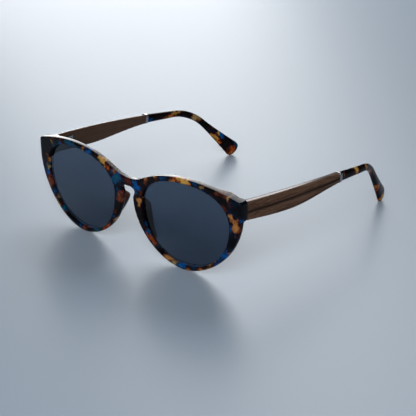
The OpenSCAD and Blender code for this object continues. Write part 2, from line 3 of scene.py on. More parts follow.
import logging
import math
from collections import Counter
from contextlib import contextmanager
from dataclasses import dataclass, field
from enum import Enum
from typing import Iterable, Iterator, Sequence

import bmesh
import bpy
import numpy as np
from mathutils import Matrix, Vector
from mathutils.geometry import delaunay_2d_cdt


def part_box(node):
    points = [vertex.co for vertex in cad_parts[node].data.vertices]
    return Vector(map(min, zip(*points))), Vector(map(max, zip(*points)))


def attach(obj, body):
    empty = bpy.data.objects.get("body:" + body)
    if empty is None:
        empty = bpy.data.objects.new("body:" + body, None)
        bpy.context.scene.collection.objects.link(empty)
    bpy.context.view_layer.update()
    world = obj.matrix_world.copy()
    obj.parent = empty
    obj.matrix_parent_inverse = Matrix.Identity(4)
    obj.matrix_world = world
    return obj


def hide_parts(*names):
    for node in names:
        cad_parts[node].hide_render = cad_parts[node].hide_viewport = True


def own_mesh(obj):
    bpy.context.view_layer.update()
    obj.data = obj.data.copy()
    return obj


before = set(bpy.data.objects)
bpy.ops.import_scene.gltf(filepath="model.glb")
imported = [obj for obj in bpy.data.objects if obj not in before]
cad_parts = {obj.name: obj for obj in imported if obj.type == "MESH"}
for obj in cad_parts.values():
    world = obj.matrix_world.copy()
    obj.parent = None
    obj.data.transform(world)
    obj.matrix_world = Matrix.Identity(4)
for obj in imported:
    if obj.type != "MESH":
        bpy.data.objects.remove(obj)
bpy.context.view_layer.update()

MM = 0.001
PHOTO_PX = 416

# Mesh clean-up: weld distances in millimetres, angles in degrees
NODE_WELD = 0.002
GROWN_WELD = 0.0005
PLAN_WELD = 1e-5
FLAT_ANGLE = 2
BEVEL_ANGLE = 35
SHARP_BEVELLED = 38
SHARP_GROWN = 35
SHARP_LENS = 40
SHARP_WOOD = 50

logging.basicConfig(level=logging.INFO, format="%(message)s")
log = logging.getLogger("sunglasses")

Point2 = tuple[float, float]
Point3 = tuple[float, float, float]
Colour = tuple[float, float, float]


class Side(Enum):
    """The wearer's side, with the sign of its X."""

    LEFT = 1
    RIGHT = -1

    @property
    def word(self) -> str:
        """The side's name as the nodes and bodies spell it."""
        return self.name.lower()

    def node(self, base: str) -> str:
        """A node's or a piece's name on this side."""
        return f"{base}_{self.word}"


class Body(Enum):
    """Bodies of one side that pieces ride on."""

    SLIDER = "slider"
    TEMPLE = "temple"

    def of(self, side: Side) -> str:
        """The body's name on that side."""
        return f"{side.word}_{self.value}"


def srgb(red: int, green: int, blue: int) -> Colour:
    """Turns display values from 0 to 255 into linear colour.

    Args:
        red, green, blue: display values.

    Returns:
        The linear colour.
    """

    def linear(v: float) -> float:
        """One channel of it."""
        v /= 255.0
        return v / 12.92 if v <= 0.04045 else ((v + 0.055) / 1.055) ** 2.4

    return linear(red), linear(green), linear(blue)


# Curves and meshes


def superellipse(
    centre: Point2, half: Point2, power: float, start: float, end: float, steps: int
) -> np.ndarray:
    """Points of a stretch of a superellipse, without the last point.

    Args:
        centre, half: its centre and half sizes.
        power: 2 for an ellipse, more for a squarer form.
        start, end: angles in degrees.
        steps: number of points.

    Returns:
        An array of points.
    """
    a = np.radians(start + (end - start) * np.arange(steps) / steps)
    c, s = np.cos(a), np.sin(a)
    x = centre[0] + half[0] * np.sign(c) * np.abs(c) ** (2 / power)
    y = centre[1] + half[1] * np.sign(s) * np.abs(s) ** (2 / power)
    return np.stack([x, y], 1)


def cubic(p: Point2, q: Point2, r: Point2, s: Point2, steps: int) -> np.ndarray:
    """Points of a cubic curve, without the last point.

    Args:
        p, s: its ends.
        q, r: its handles.
        steps: number of points.

    Returns:
        An array of points.
    """
    t = (np.arange(steps) / steps)[:, None]
    u = 1 - t
    p, q, r, s = (np.array(v, float) for v in (p, q, r, s))
    return u**3 * p + 3 * u * u * t * q + 3 * u * t * t * r + t**3 * s


def resample(loop: np.ndarray, spacing: float) -> np.ndarray:
    """Spaces the points of a closed loop evenly.

    Args:
        loop: its points.
        spacing: distance wanted between points.

    Returns:
        The new points.
    """
    closed = np.vstack([loop, loop[:1]])
    run = np.concatenate([[0], np.cumsum(np.linalg.norm(np.diff(closed, axis=0), axis=1))])
    count = max(8, round(run[-1] / spacing))
    at = np.arange(count) * run[-1] / count
    return np.stack([np.interp(at, run, closed[:, k]) for k in (0, 1)], 1)


def offset(loop: np.ndarray, distance: float) -> np.ndarray:
    """Moves a closed loop outwards.

    Args:
        loop: its points.
        distance: how far; a negative one moves inwards.

    Returns:
        The moved points.
    """
    ahead, behind = np.roll(loop, -1, 0), np.roll(loop, 1, 0)
    tangent = ahead - behind
    tangent /= np.linalg.norm(tangent, axis=1)[:, None]
    area = np.sum(loop[:, 0] * ahead[:, 1] - ahead[:, 0] * loop[:, 1])
    outward = np.stack([tangent[:, 1], -tangent[:, 0]], 1) * np.sign(area)
    return loop + distance * outward


def inside(points: np.ndarray, loop: np.ndarray) -> np.ndarray:
    """Tells which points lie inside a closed loop.

    Args:
        points: the points to test.
        loop: the loop's points.

    Returns:
        True for each point inside.
    """
    result = np.zeros(len(points), bool)
    x, y = points[:, 0], points[:, 1]
    for (x0, y0), (x1, y1) in zip(loop, np.roll(loop, -1, 0)):
        crosses = (y0 > y) != (y1 > y)
        if y0 != y1:
            result ^= crosses & (x < (x1 - x0) * (y - y0) / (y1 - y0) + x0)
    return result


def between(points: np.ndarray, outer: np.ndarray, holes: Sequence[np.ndarray]) -> np.ndarray:
    """Tells which points lie inside an outline and outside its holes."""
    return inside(points, outer) & ~np.any([inside(points, hole) for hole in holes], axis=0)


def distance_to(points: np.ndarray, loop: np.ndarray) -> np.ndarray:
    """Distance of each point from a closed loop.

    Args:
        points: the points.
        loop: the loop's points.

    Returns:
        The distances.
    """
    best = np.full(len(points), np.inf)
    for a, b in zip(loop, np.roll(loop, -1, 0)):
        run = b - a
        t = np.clip((points - a) @ run / (run @ run), 0, 1)
        best = np.minimum(best, np.linalg.norm(points - a - t[:, None] * run, axis=1))
    return best


def smoothstep(low: float, high: float, value: np.ndarray) -> np.ndarray:
    """Eases from 0 at low to 1 at high."""
    t = np.clip((value - low) / (high - low), 0, 1)
    return t * t * (3 - 2 * t)


def rounding(distance: np.ndarray, width: np.ndarray, depth: np.ndarray) -> np.ndarray:
    """How far a rounded edge drops below its face at a distance from the side."""
    u = np.clip(1 - distance / width, 0, 1)
    return depth * (1 - np.sqrt(1 - u * u))


def unit(vector: np.ndarray) -> np.ndarray:
    """The vector at length one."""
    return vector / np.linalg.norm(vector)


@contextmanager
def editing(mesh: bpy.types.Mesh) -> Iterator[bmesh.types.BMesh]:
    """Opens a mesh for editing and writes it back.

    Args:
        mesh: the mesh.

    Yields:
        The open mesh.
    """
    work = bmesh.new()
    work.from_mesh(mesh)
    yield work
    work.to_mesh(mesh)
    work.free()


def make_mesh(
    name: str, points: np.ndarray, faces: Iterable[Sequence[int]], mirrored: bool = False
) -> bpy.types.Object:
    """Makes a smooth closed mesh object from points in millimetres of the row frame.

    Args:
        name: the piece's name.
        points: its vertices.
        faces: vertex numbers of each face.
        mirrored: flips X, for the wearer's right.

    Returns:
        The linked object.
    """
    points = np.array(points, float) * MM
    faces = [tuple(int(i) for i in f) for f in faces]
    if mirrored:
        points[:, 0] *= -1
    mesh = bpy.data.meshes.new(name)
    mesh.from_pydata([tuple(p) for p in points], [], faces)
    with editing(mesh) as work:
        bmesh.ops.recalc_face_normals(work, faces=work.faces)
    mesh.shade_smooth()
    return link(name, mesh)


def link(name: str, mesh: bpy.types.Mesh) -> bpy.types.Object:
    """Links a mesh to the scene as an object at the origin.

    Args:
        name: the object's name.
        mesh: the mesh.

    Returns:
        The object.
    """
    piece = bpy.data.objects.new(name, mesh)
    bpy.context.scene.collection.objects.link(piece)
    return piece


def skin_faces(rings: int, sides: int) -> list[tuple[int, ...]]:
    """Faces of a skin through rings of equal count, closed at both ends.

    Args:
        rings, sides: number of rings and of points in each.

    Returns:
        The faces as vertex numbers.
    """
    faces: list[tuple[int, ...]] = []
    for i in range(rings - 1):
        for j in range(sides):
            k = (j + 1) % sides
            faces.append((i * sides + j, i * sides + k, (i + 1) * sides + k, (i + 1) * sides + j))
    faces.append(tuple(range(sides))[::-1])
    faces.append(tuple((rings - 1) * sides + j for j in range(sides)))
    return faces


def shell(
    front: np.ndarray, rear: np.ndarray, faces: np.ndarray
) -> tuple[np.ndarray, list[tuple[int, ...]]]:
    """Closes two skins of the same triangles with walls along their borders.

    Args:
        front, rear: points of both skins, in the same order.
        faces: triangles of the front skin.

    Returns:
        The points in use, and the faces.
    """
    n = len(front)
    sides = Counter((min(a, b), max(a, b)) for p, q, r in faces for a, b in ((p, q), (q, r), (r, p)))
    walls = [(a, b, b + n, a + n) for (a, b), count in sides.items() if count == 1]
    every = [tuple(f) for f in faces] + [tuple(f[::-1] + n) for f in faces] + walls
    used = sorted({int(i) for f in every for i in f})
    renumber = {old: new for new, old in enumerate(used)}
    return np.vstack([front, rear])[used], [tuple(renumber[int(i)] for i in f) for f in every]


def settle(piece: bpy.types.Object, body: str, slot: str, finish: bpy.types.Material, *nodes: str) -> None:
    """Gives a piece its body, its finish and the nodes that it stands for.

    Args:
        piece: the object.
        body: the body that it rides on.
        slot: the record's material slot; not used.
        finish: its material.
        nodes: nodes that it replaces.
    """
    piece.data.materials.clear()
    piece.data.materials.append(finish)
    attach(piece, body)
    if nodes:
        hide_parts(*nodes)
    log.info("%s on %s: %d faces", piece.name, body, len(piece.data.polygons))


def evaluated_mesh(piece: bpy.types.Object, name: str) -> bpy.types.Mesh:
    """Takes the mesh of an object with its modifiers applied, and removes the object.

    Args:
        piece: the object.
        name: the mesh's new name.

    Returns:
        The mesh.
    """
    graph = bpy.context.evaluated_depsgraph_get()
    mesh = bpy.data.meshes.new_from_object(piece.evaluated_get(graph))
    mesh.name = name
    bpy.data.objects.remove(piece)
    return mesh


def bevelled_copy(node: str, name: str, width: float) -> bpy.types.Object:
    """A copy of a metal node with its edges broken.

    Args:
        node: the node to copy.
        name: the new piece's name.
        width: bevel width in millimetres.

    Returns:
        The new object.
    """
    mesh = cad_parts[node].data.copy()
    with editing(mesh) as work:
        bmesh.ops.remove_doubles(work, verts=work.verts, dist=NODE_WELD * MM)
        flat = math.radians(FLAT_ANGLE)
        bmesh.ops.dissolve_limit(work, angle_limit=flat, verts=work.verts, edges=work.edges)
    piece = link(name + "_raw", mesh)
    bevel = piece.modifiers.new("edges", "BEVEL")
    bevel.width = width * MM
    bevel.segments = 2
    bevel.limit_method = "ANGLE"
    bevel.angle_limit = math.radians(BEVEL_ANGLE)
    made = evaluated_mesh(piece, name)
    made.shade_smooth()
    made.set_sharp_from_angle(angle=math.radians(SHARP_BEVELLED))
    return link(name, made)


# Shader nodes


class NodeKit:
    """Short ways to add and join nodes of one tree."""

    def __init__(self, tree: bpy.types.NodeTree) -> None:
        """Keeps the tree."""
        self.tree = tree

    def add(
        self, kind: str, inputs: dict[str | int, object] | None = None, **settings: object
    ) -> bpy.types.Node:
        """Adds a node.

        Args:
            kind: the node's type name.
            inputs: values, sockets or nodes (for their first output) for its inputs, by name or number.
            settings: attributes of the node.

        Returns:
            The node.
        """
        node = self.tree.nodes.new(kind)
        for key, value in settings.items():
            setattr(node, key, value)
        for key, value in (inputs or {}).items():
            if isinstance(value, bpy.types.Node):
                value = value.outputs[0]
            if isinstance(value, bpy.types.NodeSocket):
                self.tree.links.new(value, node.inputs[key])
            else:
                node.inputs[key].default_value = value
        return node

    def math(self, operation: str, *values: object, clamp: bool = False) -> bpy.types.NodeSocket:
        """The result of a math node on values or sockets."""
        node = self.add("ShaderNodeMath", dict(enumerate(values)), operation=operation, use_clamp=clamp)
        return node.outputs[0]

    def ease(self, value: bpy.types.NodeSocket, low: float, high: float) -> bpy.types.NodeSocket:
        """Eases a value from 0 at low to 1 at high."""
        limits = {"Value": value, "From Min": low, "From Max": high}
        return self.add("ShaderNodeMapRange", limits, interpolation_type="SMOOTHSTEP").outputs["Result"]

    def swing(self, value: bpy.types.NodeSocket, amount: float) -> bpy.types.NodeSocket:
        """Turns a value from 0 to 1 into a swing about 0."""
        return self.math("MULTIPLY", self.math("SUBTRACT", value, 0.5), amount)

    def weigh(self, first: object, second: object, share: float) -> bpy.types.NodeSocket:
        """Adds a share of the first value to the rest of the second."""
        return self.math("ADD", self.math("MULTIPLY", first, share), self.math("MULTIPLY", second, 1 - share))

    def mix(self, factor: object, first: object, second: object, blend: str = "MIX") -> bpy.types.NodeSocket:
        """Mixes two colours."""
        node = self.add("ShaderNodeMix", {0: factor, 6: first, 7: second}, data_type="RGBA", blend_type=blend)
        return node.outputs[2]

    def ramp(
        self, value: bpy.types.NodeSocket, stops: Sequence[tuple[float, Colour]], step: bool = False
    ) -> bpy.types.NodeSocket:
        """Looks a colour up on a ramp.

        Args:
            value: the place on the ramp.
            stops: place and colour of each stop.
            step: keeps each colour flat up to the next.

        Returns:
            The colour.
        """
        node = self.add("ShaderNodeValToRGB", {0: value})
        ramp = node.color_ramp
        ramp.interpolation = "CONSTANT" if step else "LINEAR"
        while len(ramp.elements) < len(stops):
            ramp.elements.new(0.5)
        for element, (place, colour) in zip(ramp.elements, stops):
            element.position = place
            element.color = (*colour, 1)
        return node.outputs["Color"]

    def noise(
        self, vector: object, scale: float, detail: float = 2, rough: float = 0.5, warp: float = 0
    ) -> bpy.types.Node:
        """Adds a noise texture node."""
        inputs = {"Vector": vector, "Scale": scale, "Detail": detail, "Roughness": rough, "Distortion": warp}
        return self.add("ShaderNodeTexNoise", inputs)

    def swirled(
        self, place: bpy.types.NodeSocket, noise: bpy.types.Node, amount: object
    ) -> bpy.types.NodeSocket:
        """Pushes a place about.

        Args:
            place: the place.
            noise: the noise node whose colour gives the push.
            amount: reach of the push from end to end, in metres.

        Returns:
            The new place.
        """
        middle = (0.5, 0.5, 0.5)
        push = self.add("ShaderNodeVectorMath", {0: noise.outputs["Color"], 1: middle}, operation="SUBTRACT")
        push = self.add("ShaderNodeVectorMath", {0: push, "Scale": amount}, operation="SCALE")
        return self.add("ShaderNodeVectorMath", {0: place, 1: push}, operation="ADD").outputs[0]


def rgba(colour: Colour) -> tuple[float, float, float, float]:
    """The colour with full alpha."""
    return (*colour, 1.0)


# Socket types of the node groups
FLOAT = "NodeSocketFloat"
VECTOR = "NodeSocketVector"
COLOUR = "NodeSocketColor"
GEOMETRY = "NodeSocketGeometry"
MATERIAL = "NodeSocketMaterial"


def new_group(
    name: str,
    inputs: Sequence[tuple[str, str, object]],
    outputs: Sequence[tuple[str, str]],
    kind: str = "ShaderNodeTree",
) -> tuple[NodeKit, bpy.types.bpy_prop_collection]:
    """Starts a node group.

    Args:
        name: the group's name.
        inputs: name, socket type and default of each input.
        outputs: name and socket type of each output.
        kind: the sort of tree.

    Returns:
        A kit for the group's tree, and the sockets that its inputs come from.
    """
    tree = bpy.data.node_groups.new(name, kind)
    for label, kind, default in inputs:
        socket = tree.interface.new_socket(label, in_out="INPUT", socket_type=kind)
        if default is not None:
            socket.default_value = default
    for label, kind in outputs:
        tree.interface.new_socket(label, in_out="OUTPUT", socket_type=kind)
    kit = NodeKit(tree)
    return kit, kit.add("NodeGroupInput").outputs


class Effects:
    """Node groups that several finishes share."""

    def __init__(self) -> None:
        """Builds the groups."""
        self.patches = self._patches()
        self.placed = self._placed()
        self.handling = self._handling()

    def _patches(self) -> bpy.types.NodeTree:
        """Soft-edged coloured patches in a clear dark mass, as sheet acetate has them.

        Returns:
            A group that gives a random number per patch, and the masks of its middle and of all of it.
        """
        kit, out = new_group(
            "acetate patches",
            [
                ("Vector", VECTOR, None),
                ("Scale", FLOAT, 130.0),
                ("Cover", FLOAT, 0.6),
                ("Waviness", FLOAT, 0.004),
            ],
            [("Pick", FLOAT), ("Core", FLOAT), ("Mask", FLOAT)],
        )
        place = kit.swirled(out["Vector"], kit.noise(out["Vector"], 150.0, 1, 0.5), out["Waviness"])
        spread = {"Vector": place, "Scale": out["Scale"], "Randomness": 1.0}
        cells = kit.add("ShaderNodeTexVoronoi", spread, feature="F1")
        split = kit.add("ShaderNodeSeparateColor", {0: cells.outputs["Color"]})
        ragged = kit.noise(place, 420.0, 2, 0.55)
        far = kit.math("ADD", cells.outputs["Distance"], kit.swing(ragged, 0.5))
        chosen = kit.math("LESS_THAN", split.outputs[1], out["Cover"])
        mask = kit.math("MULTIPLY", kit.ease(far, 0.68, 0.4), chosen)
        kit.add("NodeGroupOutput", {"Pick": split, "Core": kit.ease(far, 0.44, 0.1), "Mask": mask})
        return kit.tree

    def _placed(self) -> bpy.types.NodeTree:
        """One patch at a chosen place, laid over the colour below it.

        Returns:
            A group that gives the colour with the patch on it.
        """
        kit, out = new_group(
            "placed patch",
            [
                ("Vector", VECTOR, None),
                ("Ragged", FLOAT, 0.0),
                ("Place", VECTOR, None),
                ("Turn", VECTOR, None),
                ("Half", VECTOR, None),
                ("Under", COLOUR, None),
                ("Core", COLOUR, None),
                ("Edge", COLOUR, None),
            ],
            [("Color", COLOUR)],
        )
        box = {"Location": out["Place"], "Rotation": out["Turn"], "Scale": out["Half"]}
        local = kit.add("ShaderNodeMapping", {"Vector": out["Vector"], **box}, vector_type="TEXTURE")
        length = kit.add("ShaderNodeVectorMath", {0: local}, operation="LENGTH")
        far = kit.math("ADD", length.outputs["Value"], out["Ragged"])
        colour = kit.mix(kit.ease(far, 0.95, 0.35), out["Edge"], out["Core"])
        kit.add("NodeGroupOutput", {"Color": kit.mix(kit.ease(far, 1.12, 0.84), out["Under"], colour)})
        return kit.tree

    def _handling(self) -> bpy.types.NodeTree:
        """Faint traces of use: fine wipe marks and a little unevenness.

        Returns:
            A group that gives a change of roughness.
        """
        kit, out = new_group(
            "handling marks",
            [("Vector", VECTOR, None), ("Amount", FLOAT, 0.1)],
            [("Roughness", FLOAT)],
        )
        smear = kit.noise(out["Vector"], 120.0, 4, 0.6, 0.4)
        fine = kit.noise(out["Vector"], 2400.0, 2, 0.5)
        both = kit.weigh(smear, fine, 0.75)
        kit.add("NodeGroupOutput", {"Roughness": kit.math("MULTIPLY", both, out["Amount"])})
        return kit.tree


# Parts grown by Geometry Nodes


class Turnery:
    """Trees for the small turned and wound parts."""

    def __init__(self) -> None:
        """Builds the trees."""
        self.screws = self._screws()
        self.spring = self._spring()

    def _screws(self) -> bpy.types.NodeTree:
        """Slotted screws, each with its head above a seat and its shank along the path below it.

        Returns:
            The tree; its seats are the points of the object that carries it.
        """
        kit, out = new_group(
            "slotted screws",
            [
                ("Seats", GEOMETRY, None),
                ("Turn", VECTOR, None),
                ("Head Radius", FLOAT, 1.1 * MM),
                ("Head Height", FLOAT, 0.6 * MM),
                ("Shank Radius", FLOAT, 0.7 * MM),
                ("Shank Length", FLOAT, 5.0 * MM),
                ("Slot Width", FLOAT, 0.35 * MM),
                ("Slot Depth", FLOAT, 0.3 * MM),
                ("Slot Turn", FLOAT, 0.4),
                ("Dome", FLOAT, 0.42),
                ("Land", FLOAT, 0.8),
                ("Finish", MATERIAL, None),
            ],
            [("Geometry", GEOMETRY)],
            "GeometryNodeTree",
        )
        top = kit.add("ShaderNodeCombineXYZ", {"Z": out["Head Height"]})
        down = kit.math("MULTIPLY", out["Shank Length"], -1.0)
        foot = kit.add("ShaderNodeCombineXYZ", {"Z": down})
        path = kit.add("GeometryNodeCurvePrimitiveLine", {"Start": top, "End": foot})
        path = kit.add("GeometryNodeResampleCurve", {"Curve": path, "Count": 60})
        run = kit.add("GeometryNodeSplineParameter").outputs["Length"]
        land = kit.math("MULTIPLY", out["Head Height"], out["Land"])
        rise = kit.math("SUBTRACT", 1.0, kit.math("DIVIDE", run, land, clamp=True))
        dome = kit.math("SUBTRACT", 1.0, kit.math("MULTIPLY", kit.math("POWER", rise, 3.0), out["Dome"]))
        head = kit.math("MULTIPLY", dome, out["Head Radius"])
        below = kit.math("GREATER_THAN", run, land)
        shank = kit.math("MULTIPLY", below, kit.math("SUBTRACT", out["Shank Radius"], head))
        circle = kit.add("GeometryNodeCurvePrimitiveCircle", {"Resolution": 24, "Radius": 1.0})
        body = kit.add(
            "GeometryNodeCurveToMesh",
            {
                "Curve": path,
                "Profile Curve": circle,
                "Scale": kit.math("ADD", head, shank),
                "Fill Caps": True,
            },
        )
        size = kit.add(
            "ShaderNodeCombineXYZ",
            {
                "X": kit.math("MULTIPLY", out["Head Radius"], 3.0),
                "Y": out["Slot Width"],
                "Z": kit.math("MULTIPLY", out["Slot Depth"], 2.0),
            },
        )
        blade = kit.add("GeometryNodeMeshCube", {"Size": size})
        spin = kit.add("ShaderNodeCombineXYZ", {"Z": out["Slot Turn"]})
        spin = kit.add("FunctionNodeEulerToRotation", {"Euler": spin})
        blade = kit.add(
            "GeometryNodeTransform",
            {"Geometry": blade, "Translation": top, "Rotation": spin},
        )
        slotted = kit.add(
            "GeometryNodeMeshBoolean",
            {"Mesh 1": body, "Mesh 2": blade},
            operation="DIFFERENCE",
            solver="EXACT",
        )
        return self._laid(kit, out, slotted)

    def _spring(self) -> bpy.types.NodeTree:
        """A wound spring that rises from its seat.

        Returns:
            The tree; its seats are the points of the object that carries it.
        """
        kit, out = new_group(
            "wound spring",
            [
                ("Seats", GEOMETRY, None),
                ("Turn", VECTOR, None),
                ("Radius", FLOAT, 1.0 * MM),
                ("Wire Radius", FLOAT, 0.17 * MM),
                ("Length", FLOAT, 3.2 * MM),
                ("Turns", FLOAT, 4.0),
                ("Finish", MATERIAL, None),
            ],
            [("Geometry", GEOMETRY)],
            "GeometryNodeTree",
        )
        path = kit.add(
            "GeometryNodeCurveSpiral",
            {
                "Resolution": 36,
                "Rotations": out["Turns"],
                "Start Radius": out["Radius"],
                "End Radius": out["Radius"],
                "Height": out["Length"],
            },
        )
        wire = kit.add("GeometryNodeCurvePrimitiveCircle", {"Resolution": 10, "Radius": out["Wire Radius"]})
        coil = kit.add(
            "GeometryNodeCurveToMesh",
            {"Curve": path, "Profile Curve": wire, "Fill Caps": True},
        )
        return self._laid(kit, out, coil)

    def _laid(
        self, kit: NodeKit, out: bpy.types.bpy_prop_collection, shape: bpy.types.Node
    ) -> bpy.types.NodeTree:
        """Ends a tree: lays the shape on every seat, as real geometry with its finish.

        Args:
            kit: the tree's kit.
            out: the sockets that its inputs come from.
            shape: the node that gives the shape.

        Returns:
            The tree.
        """
        turn = kit.add("FunctionNodeEulerToRotation", {"Euler": out["Turn"]})
        rows = {"Points": out["Seats"], "Instance": shape, "Rotation": turn}
        laid = kit.add("GeometryNodeInstanceOnPoints", rows)
        real = kit.add("GeometryNodeRealizeInstances", {"Geometry": laid})
        dressed = kit.add("GeometryNodeSetMaterial", {"Geometry": real, "Material": out["Finish"]})
        kit.add("NodeGroupOutput", {"Geometry": dressed})
        return kit.tree

    def grow(
        self, name: str, tree: bpy.types.NodeTree, seats: Sequence[Vector], values: dict[str, object]
    ) -> bpy.types.Object:
        """Runs a tree on seats and keeps the result as a plain mesh.

        Args:
            name: the new piece's name.
            tree: the tree.
            seats: places in the row frame, in metres.
            values: the tree's inputs by name; sizes in metres.

        Returns:
            The linked piece.
        """
        points = bpy.data.meshes.new(name + "_seats")
        points.from_pydata([tuple(v) for v in seats], [], [])
        carrier = link(name + "_seats", points)
        modifier = carrier.modifiers.new("grow", "NODES")
        modifier.node_group = tree
        for item in tree.interface.items_tree:
            if item.in_out == "INPUT" and item.name in values:
                modifier[item.identifier] = values[item.name]
        mesh = evaluated_mesh(carrier, name)
        with editing(mesh) as work:
            bmesh.ops.remove_doubles(work, verts=work.verts, dist=GROWN_WELD * MM)
            bmesh.ops.recalc_face_normals(work, faces=work.faces)
        mesh.shade_smooth()
        mesh.set_sharp_from_angle(angle=math.radians(SHARP_GROWN))
        return link(name, mesh)


# Finishes


class Tone(Enum):
    """Colours of the acetate sheet and the wood."""

    NIGHT = srgb(8, 8, 12)
    UMBER = srgb(26, 13, 13)
    NAVY = srgb(7, 22, 42)
    COBALT = srgb(12, 62, 112)
    SKY = srgb(6, 86, 158)
    TEAL = srgb(10, 82, 106)
    AMBER = srgb(176, 120, 62)
    CREAM = srgb(156, 138, 88)
    RUST = srgb(118, 62, 40)
    OXBLOOD = srgb(80, 32, 24)
    PLUM = srgb(52, 22, 28)
    HONEY = srgb(204, 162, 78)
    FLAME = srgb(164, 70, 22)


@dataclass(frozen=True)
class Finish:
    """A surface finish.

    Attributes:
        name: the material's name.
        roughness: base roughness.
        marks: how strong the handling marks are.
    """

    name: str
    roughness: float
    marks: float

    def build(self, effects: Effects) -> bpy.types.Material:
        """Makes the material, with handling marks in its roughness.

        Args:
            effects: the shared groups.

        Returns:
            The material.
        """
        material = bpy.data.materials.new(self.name)
        material.use_nodes = True
        material.node_tree.nodes.clear()
        kit = NodeKit(material.node_tree)
        place = kit.add("ShaderNodeTexCoord").outputs["Object"]
        use = {"Vector": place, "Amount": self.marks}
        marks = kit.add("ShaderNodeGroup", use, node_tree=effects.handling)
        rough = kit.math("ADD", marks, self.roughness)
        shader = kit.add("ShaderNodeBsdfPrincipled", {"Roughness": rough, **self.look(kit, effects, place)})
        kit.add("ShaderNodeOutputMaterial", {"Surface": shader})
        return material

    def look(self, kit: NodeKit, effects: Effects, place: bpy.types.NodeSocket) -> dict[str, object]:
        """Makes the nodes that are this finish's own.

        Args:
            kit, effects: the material's kit and the shared groups.
            place: the Object coordinates.

        Returns:
            The shader's inputs, apart from its roughness.
        """
        raise NotImplementedError


@dataclass(frozen=True)
class Patch:
    """A colour patch with a chosen place.

    Attributes:
        place: its middle in the row frame, in millimetres.
        half: its half sizes, in millimetres.
        tilt: turn about Y in degrees; a positive one drops the end towards the wearer's left.
        core, edge: colours of its middle and its border.
        pitch: turn about X in degrees; a positive one lifts the rear end.
    """

    place: Point3
    half: Point3
    tilt: float
    core: Tone
    edge: Tone
    pitch: float = 0.0


@dataclass(frozen=True)
class AcetateFinish(Finish):
    """Polished tortoiseshell acetate.

    Attributes:
        large, small: the share from which each pair of core and border colours is used, by patch size.
        cover: share of cells that hold a patch, large and small.
        placed: patches with a chosen place.
        bend: how far the swirls in the sheet bend those, in metres.
        gloss: specular level.
        vein: how far the darker clouds in the sheet dim its colours.
        scales, waves: cells to a metre and their waviness in metres, large and small.
        rag: how ragged the borders of the placed patches are.
    """

    large: tuple[tuple[float, Tone, Tone], ...] = ()
    small: tuple[tuple[float, Tone, Tone], ...] = ()
    cover: Point2 = (0.7, 0.6)
    placed: tuple[Patch, ...] = ()
    bend: float = 0.008
    gloss: float = 0.13
    vein: Colour = (0.32, 0.26, 0.26)
    scales: Point2 = (125.0, 230.0)
    waves: Point2 = (0.007, 0.004)
    rag: float = 1.7

    def look(self, kit: NodeKit, effects: Effects, place: bpy.types.NodeSocket) -> dict[str, object]:
        """The sheet with its patches, dimmed by darker clouds.

        Args:
            kit, effects: the material's kit and the shared groups.
            place: the Object coordinates.

        Returns:
            The shader's inputs, apart from its roughness.
        """
        colour = self._spots(kit, effects, place, self._sheet(kit, effects, place))
        vein = kit.ease(kit.noise(place, 260.0, 4, 0.6, 0.6), 0.32, 0.58)
        colour = kit.mix(vein, kit.mix(1.0, colour, rgba(self.vein), "MULTIPLY"), colour)
        return {"Base Color": colour, "IOR": 1.48, "Specular IOR Level": self.gloss}

    def _sheet(self, kit: NodeKit, effects: Effects, place: bpy.types.NodeSocket) -> bpy.types.NodeSocket:
        """Colours the dark clouded mass with its large and small patches.

        Args:
            kit, effects: the material's kit and the shared groups.
            place: the Object coordinates.

        Returns:
            The colour.
        """
        cloud = kit.noise(place, 110.0, 3, 0.6)
        colour = kit.ramp(
            kit.ease(cloud, 0.35, 0.7),
            [(0.0, Tone.NIGHT.value), (0.6, Tone.UMBER.value), (1.0, Tone.NIGHT.value)],
        )
        for scale, cover, waves, tones in zip(self.scales, self.cover, self.waves, (self.large, self.small)):
            inputs = {"Vector": place, "Scale": scale, "Cover": cover, "Waviness": waves}
            layer = kit.add("ShaderNodeGroup", inputs, node_tree=effects.patches).outputs
            core = kit.ramp(layer["Pick"], [(share, c.value) for share, c, _ in tones], step=True)
            edge = kit.ramp(layer["Pick"], [(share, e.value) for share, _, e in tones], step=True)
            colour = kit.mix(layer["Mask"], colour, kit.mix(layer["Core"], edge, core))
        return colour

    def _spots(
        self, kit: NodeKit, effects: Effects, place: bpy.types.NodeSocket, colour: bpy.types.NodeSocket
    ) -> bpy.types.NodeSocket:
        """Lays the placed patches over a colour, bent by the swirls in the sheet.

        Args:
            kit, effects: the material's kit and the shared groups.
            place: the Object coordinates.
            colour: the colour below them.

        Returns:
            The colour with the patches on it.
        """
        bent = kit.swirled(place, kit.noise(place, 210.0, 2, 0.6), self.bend)
        ragged = kit.swing(kit.noise(place, 480.0, 3, 0.6, 0.3), self.rag)
        for patch in self.placed:
            inputs = {
                "Vector": bent,
                "Ragged": ragged,
                "Place": [v * MM for v in patch.place],
                "Turn": (math.radians(patch.pitch), math.radians(patch.tilt), 0),
                "Half": [v * MM for v in patch.half],
                "Under": colour,
                "Core": rgba(patch.core.value),
                "Edge": rgba(patch.edge.value),
            }
            colour = kit.add("ShaderNodeGroup", inputs, node_tree=effects.placed).outputs["Color"]
        return colour


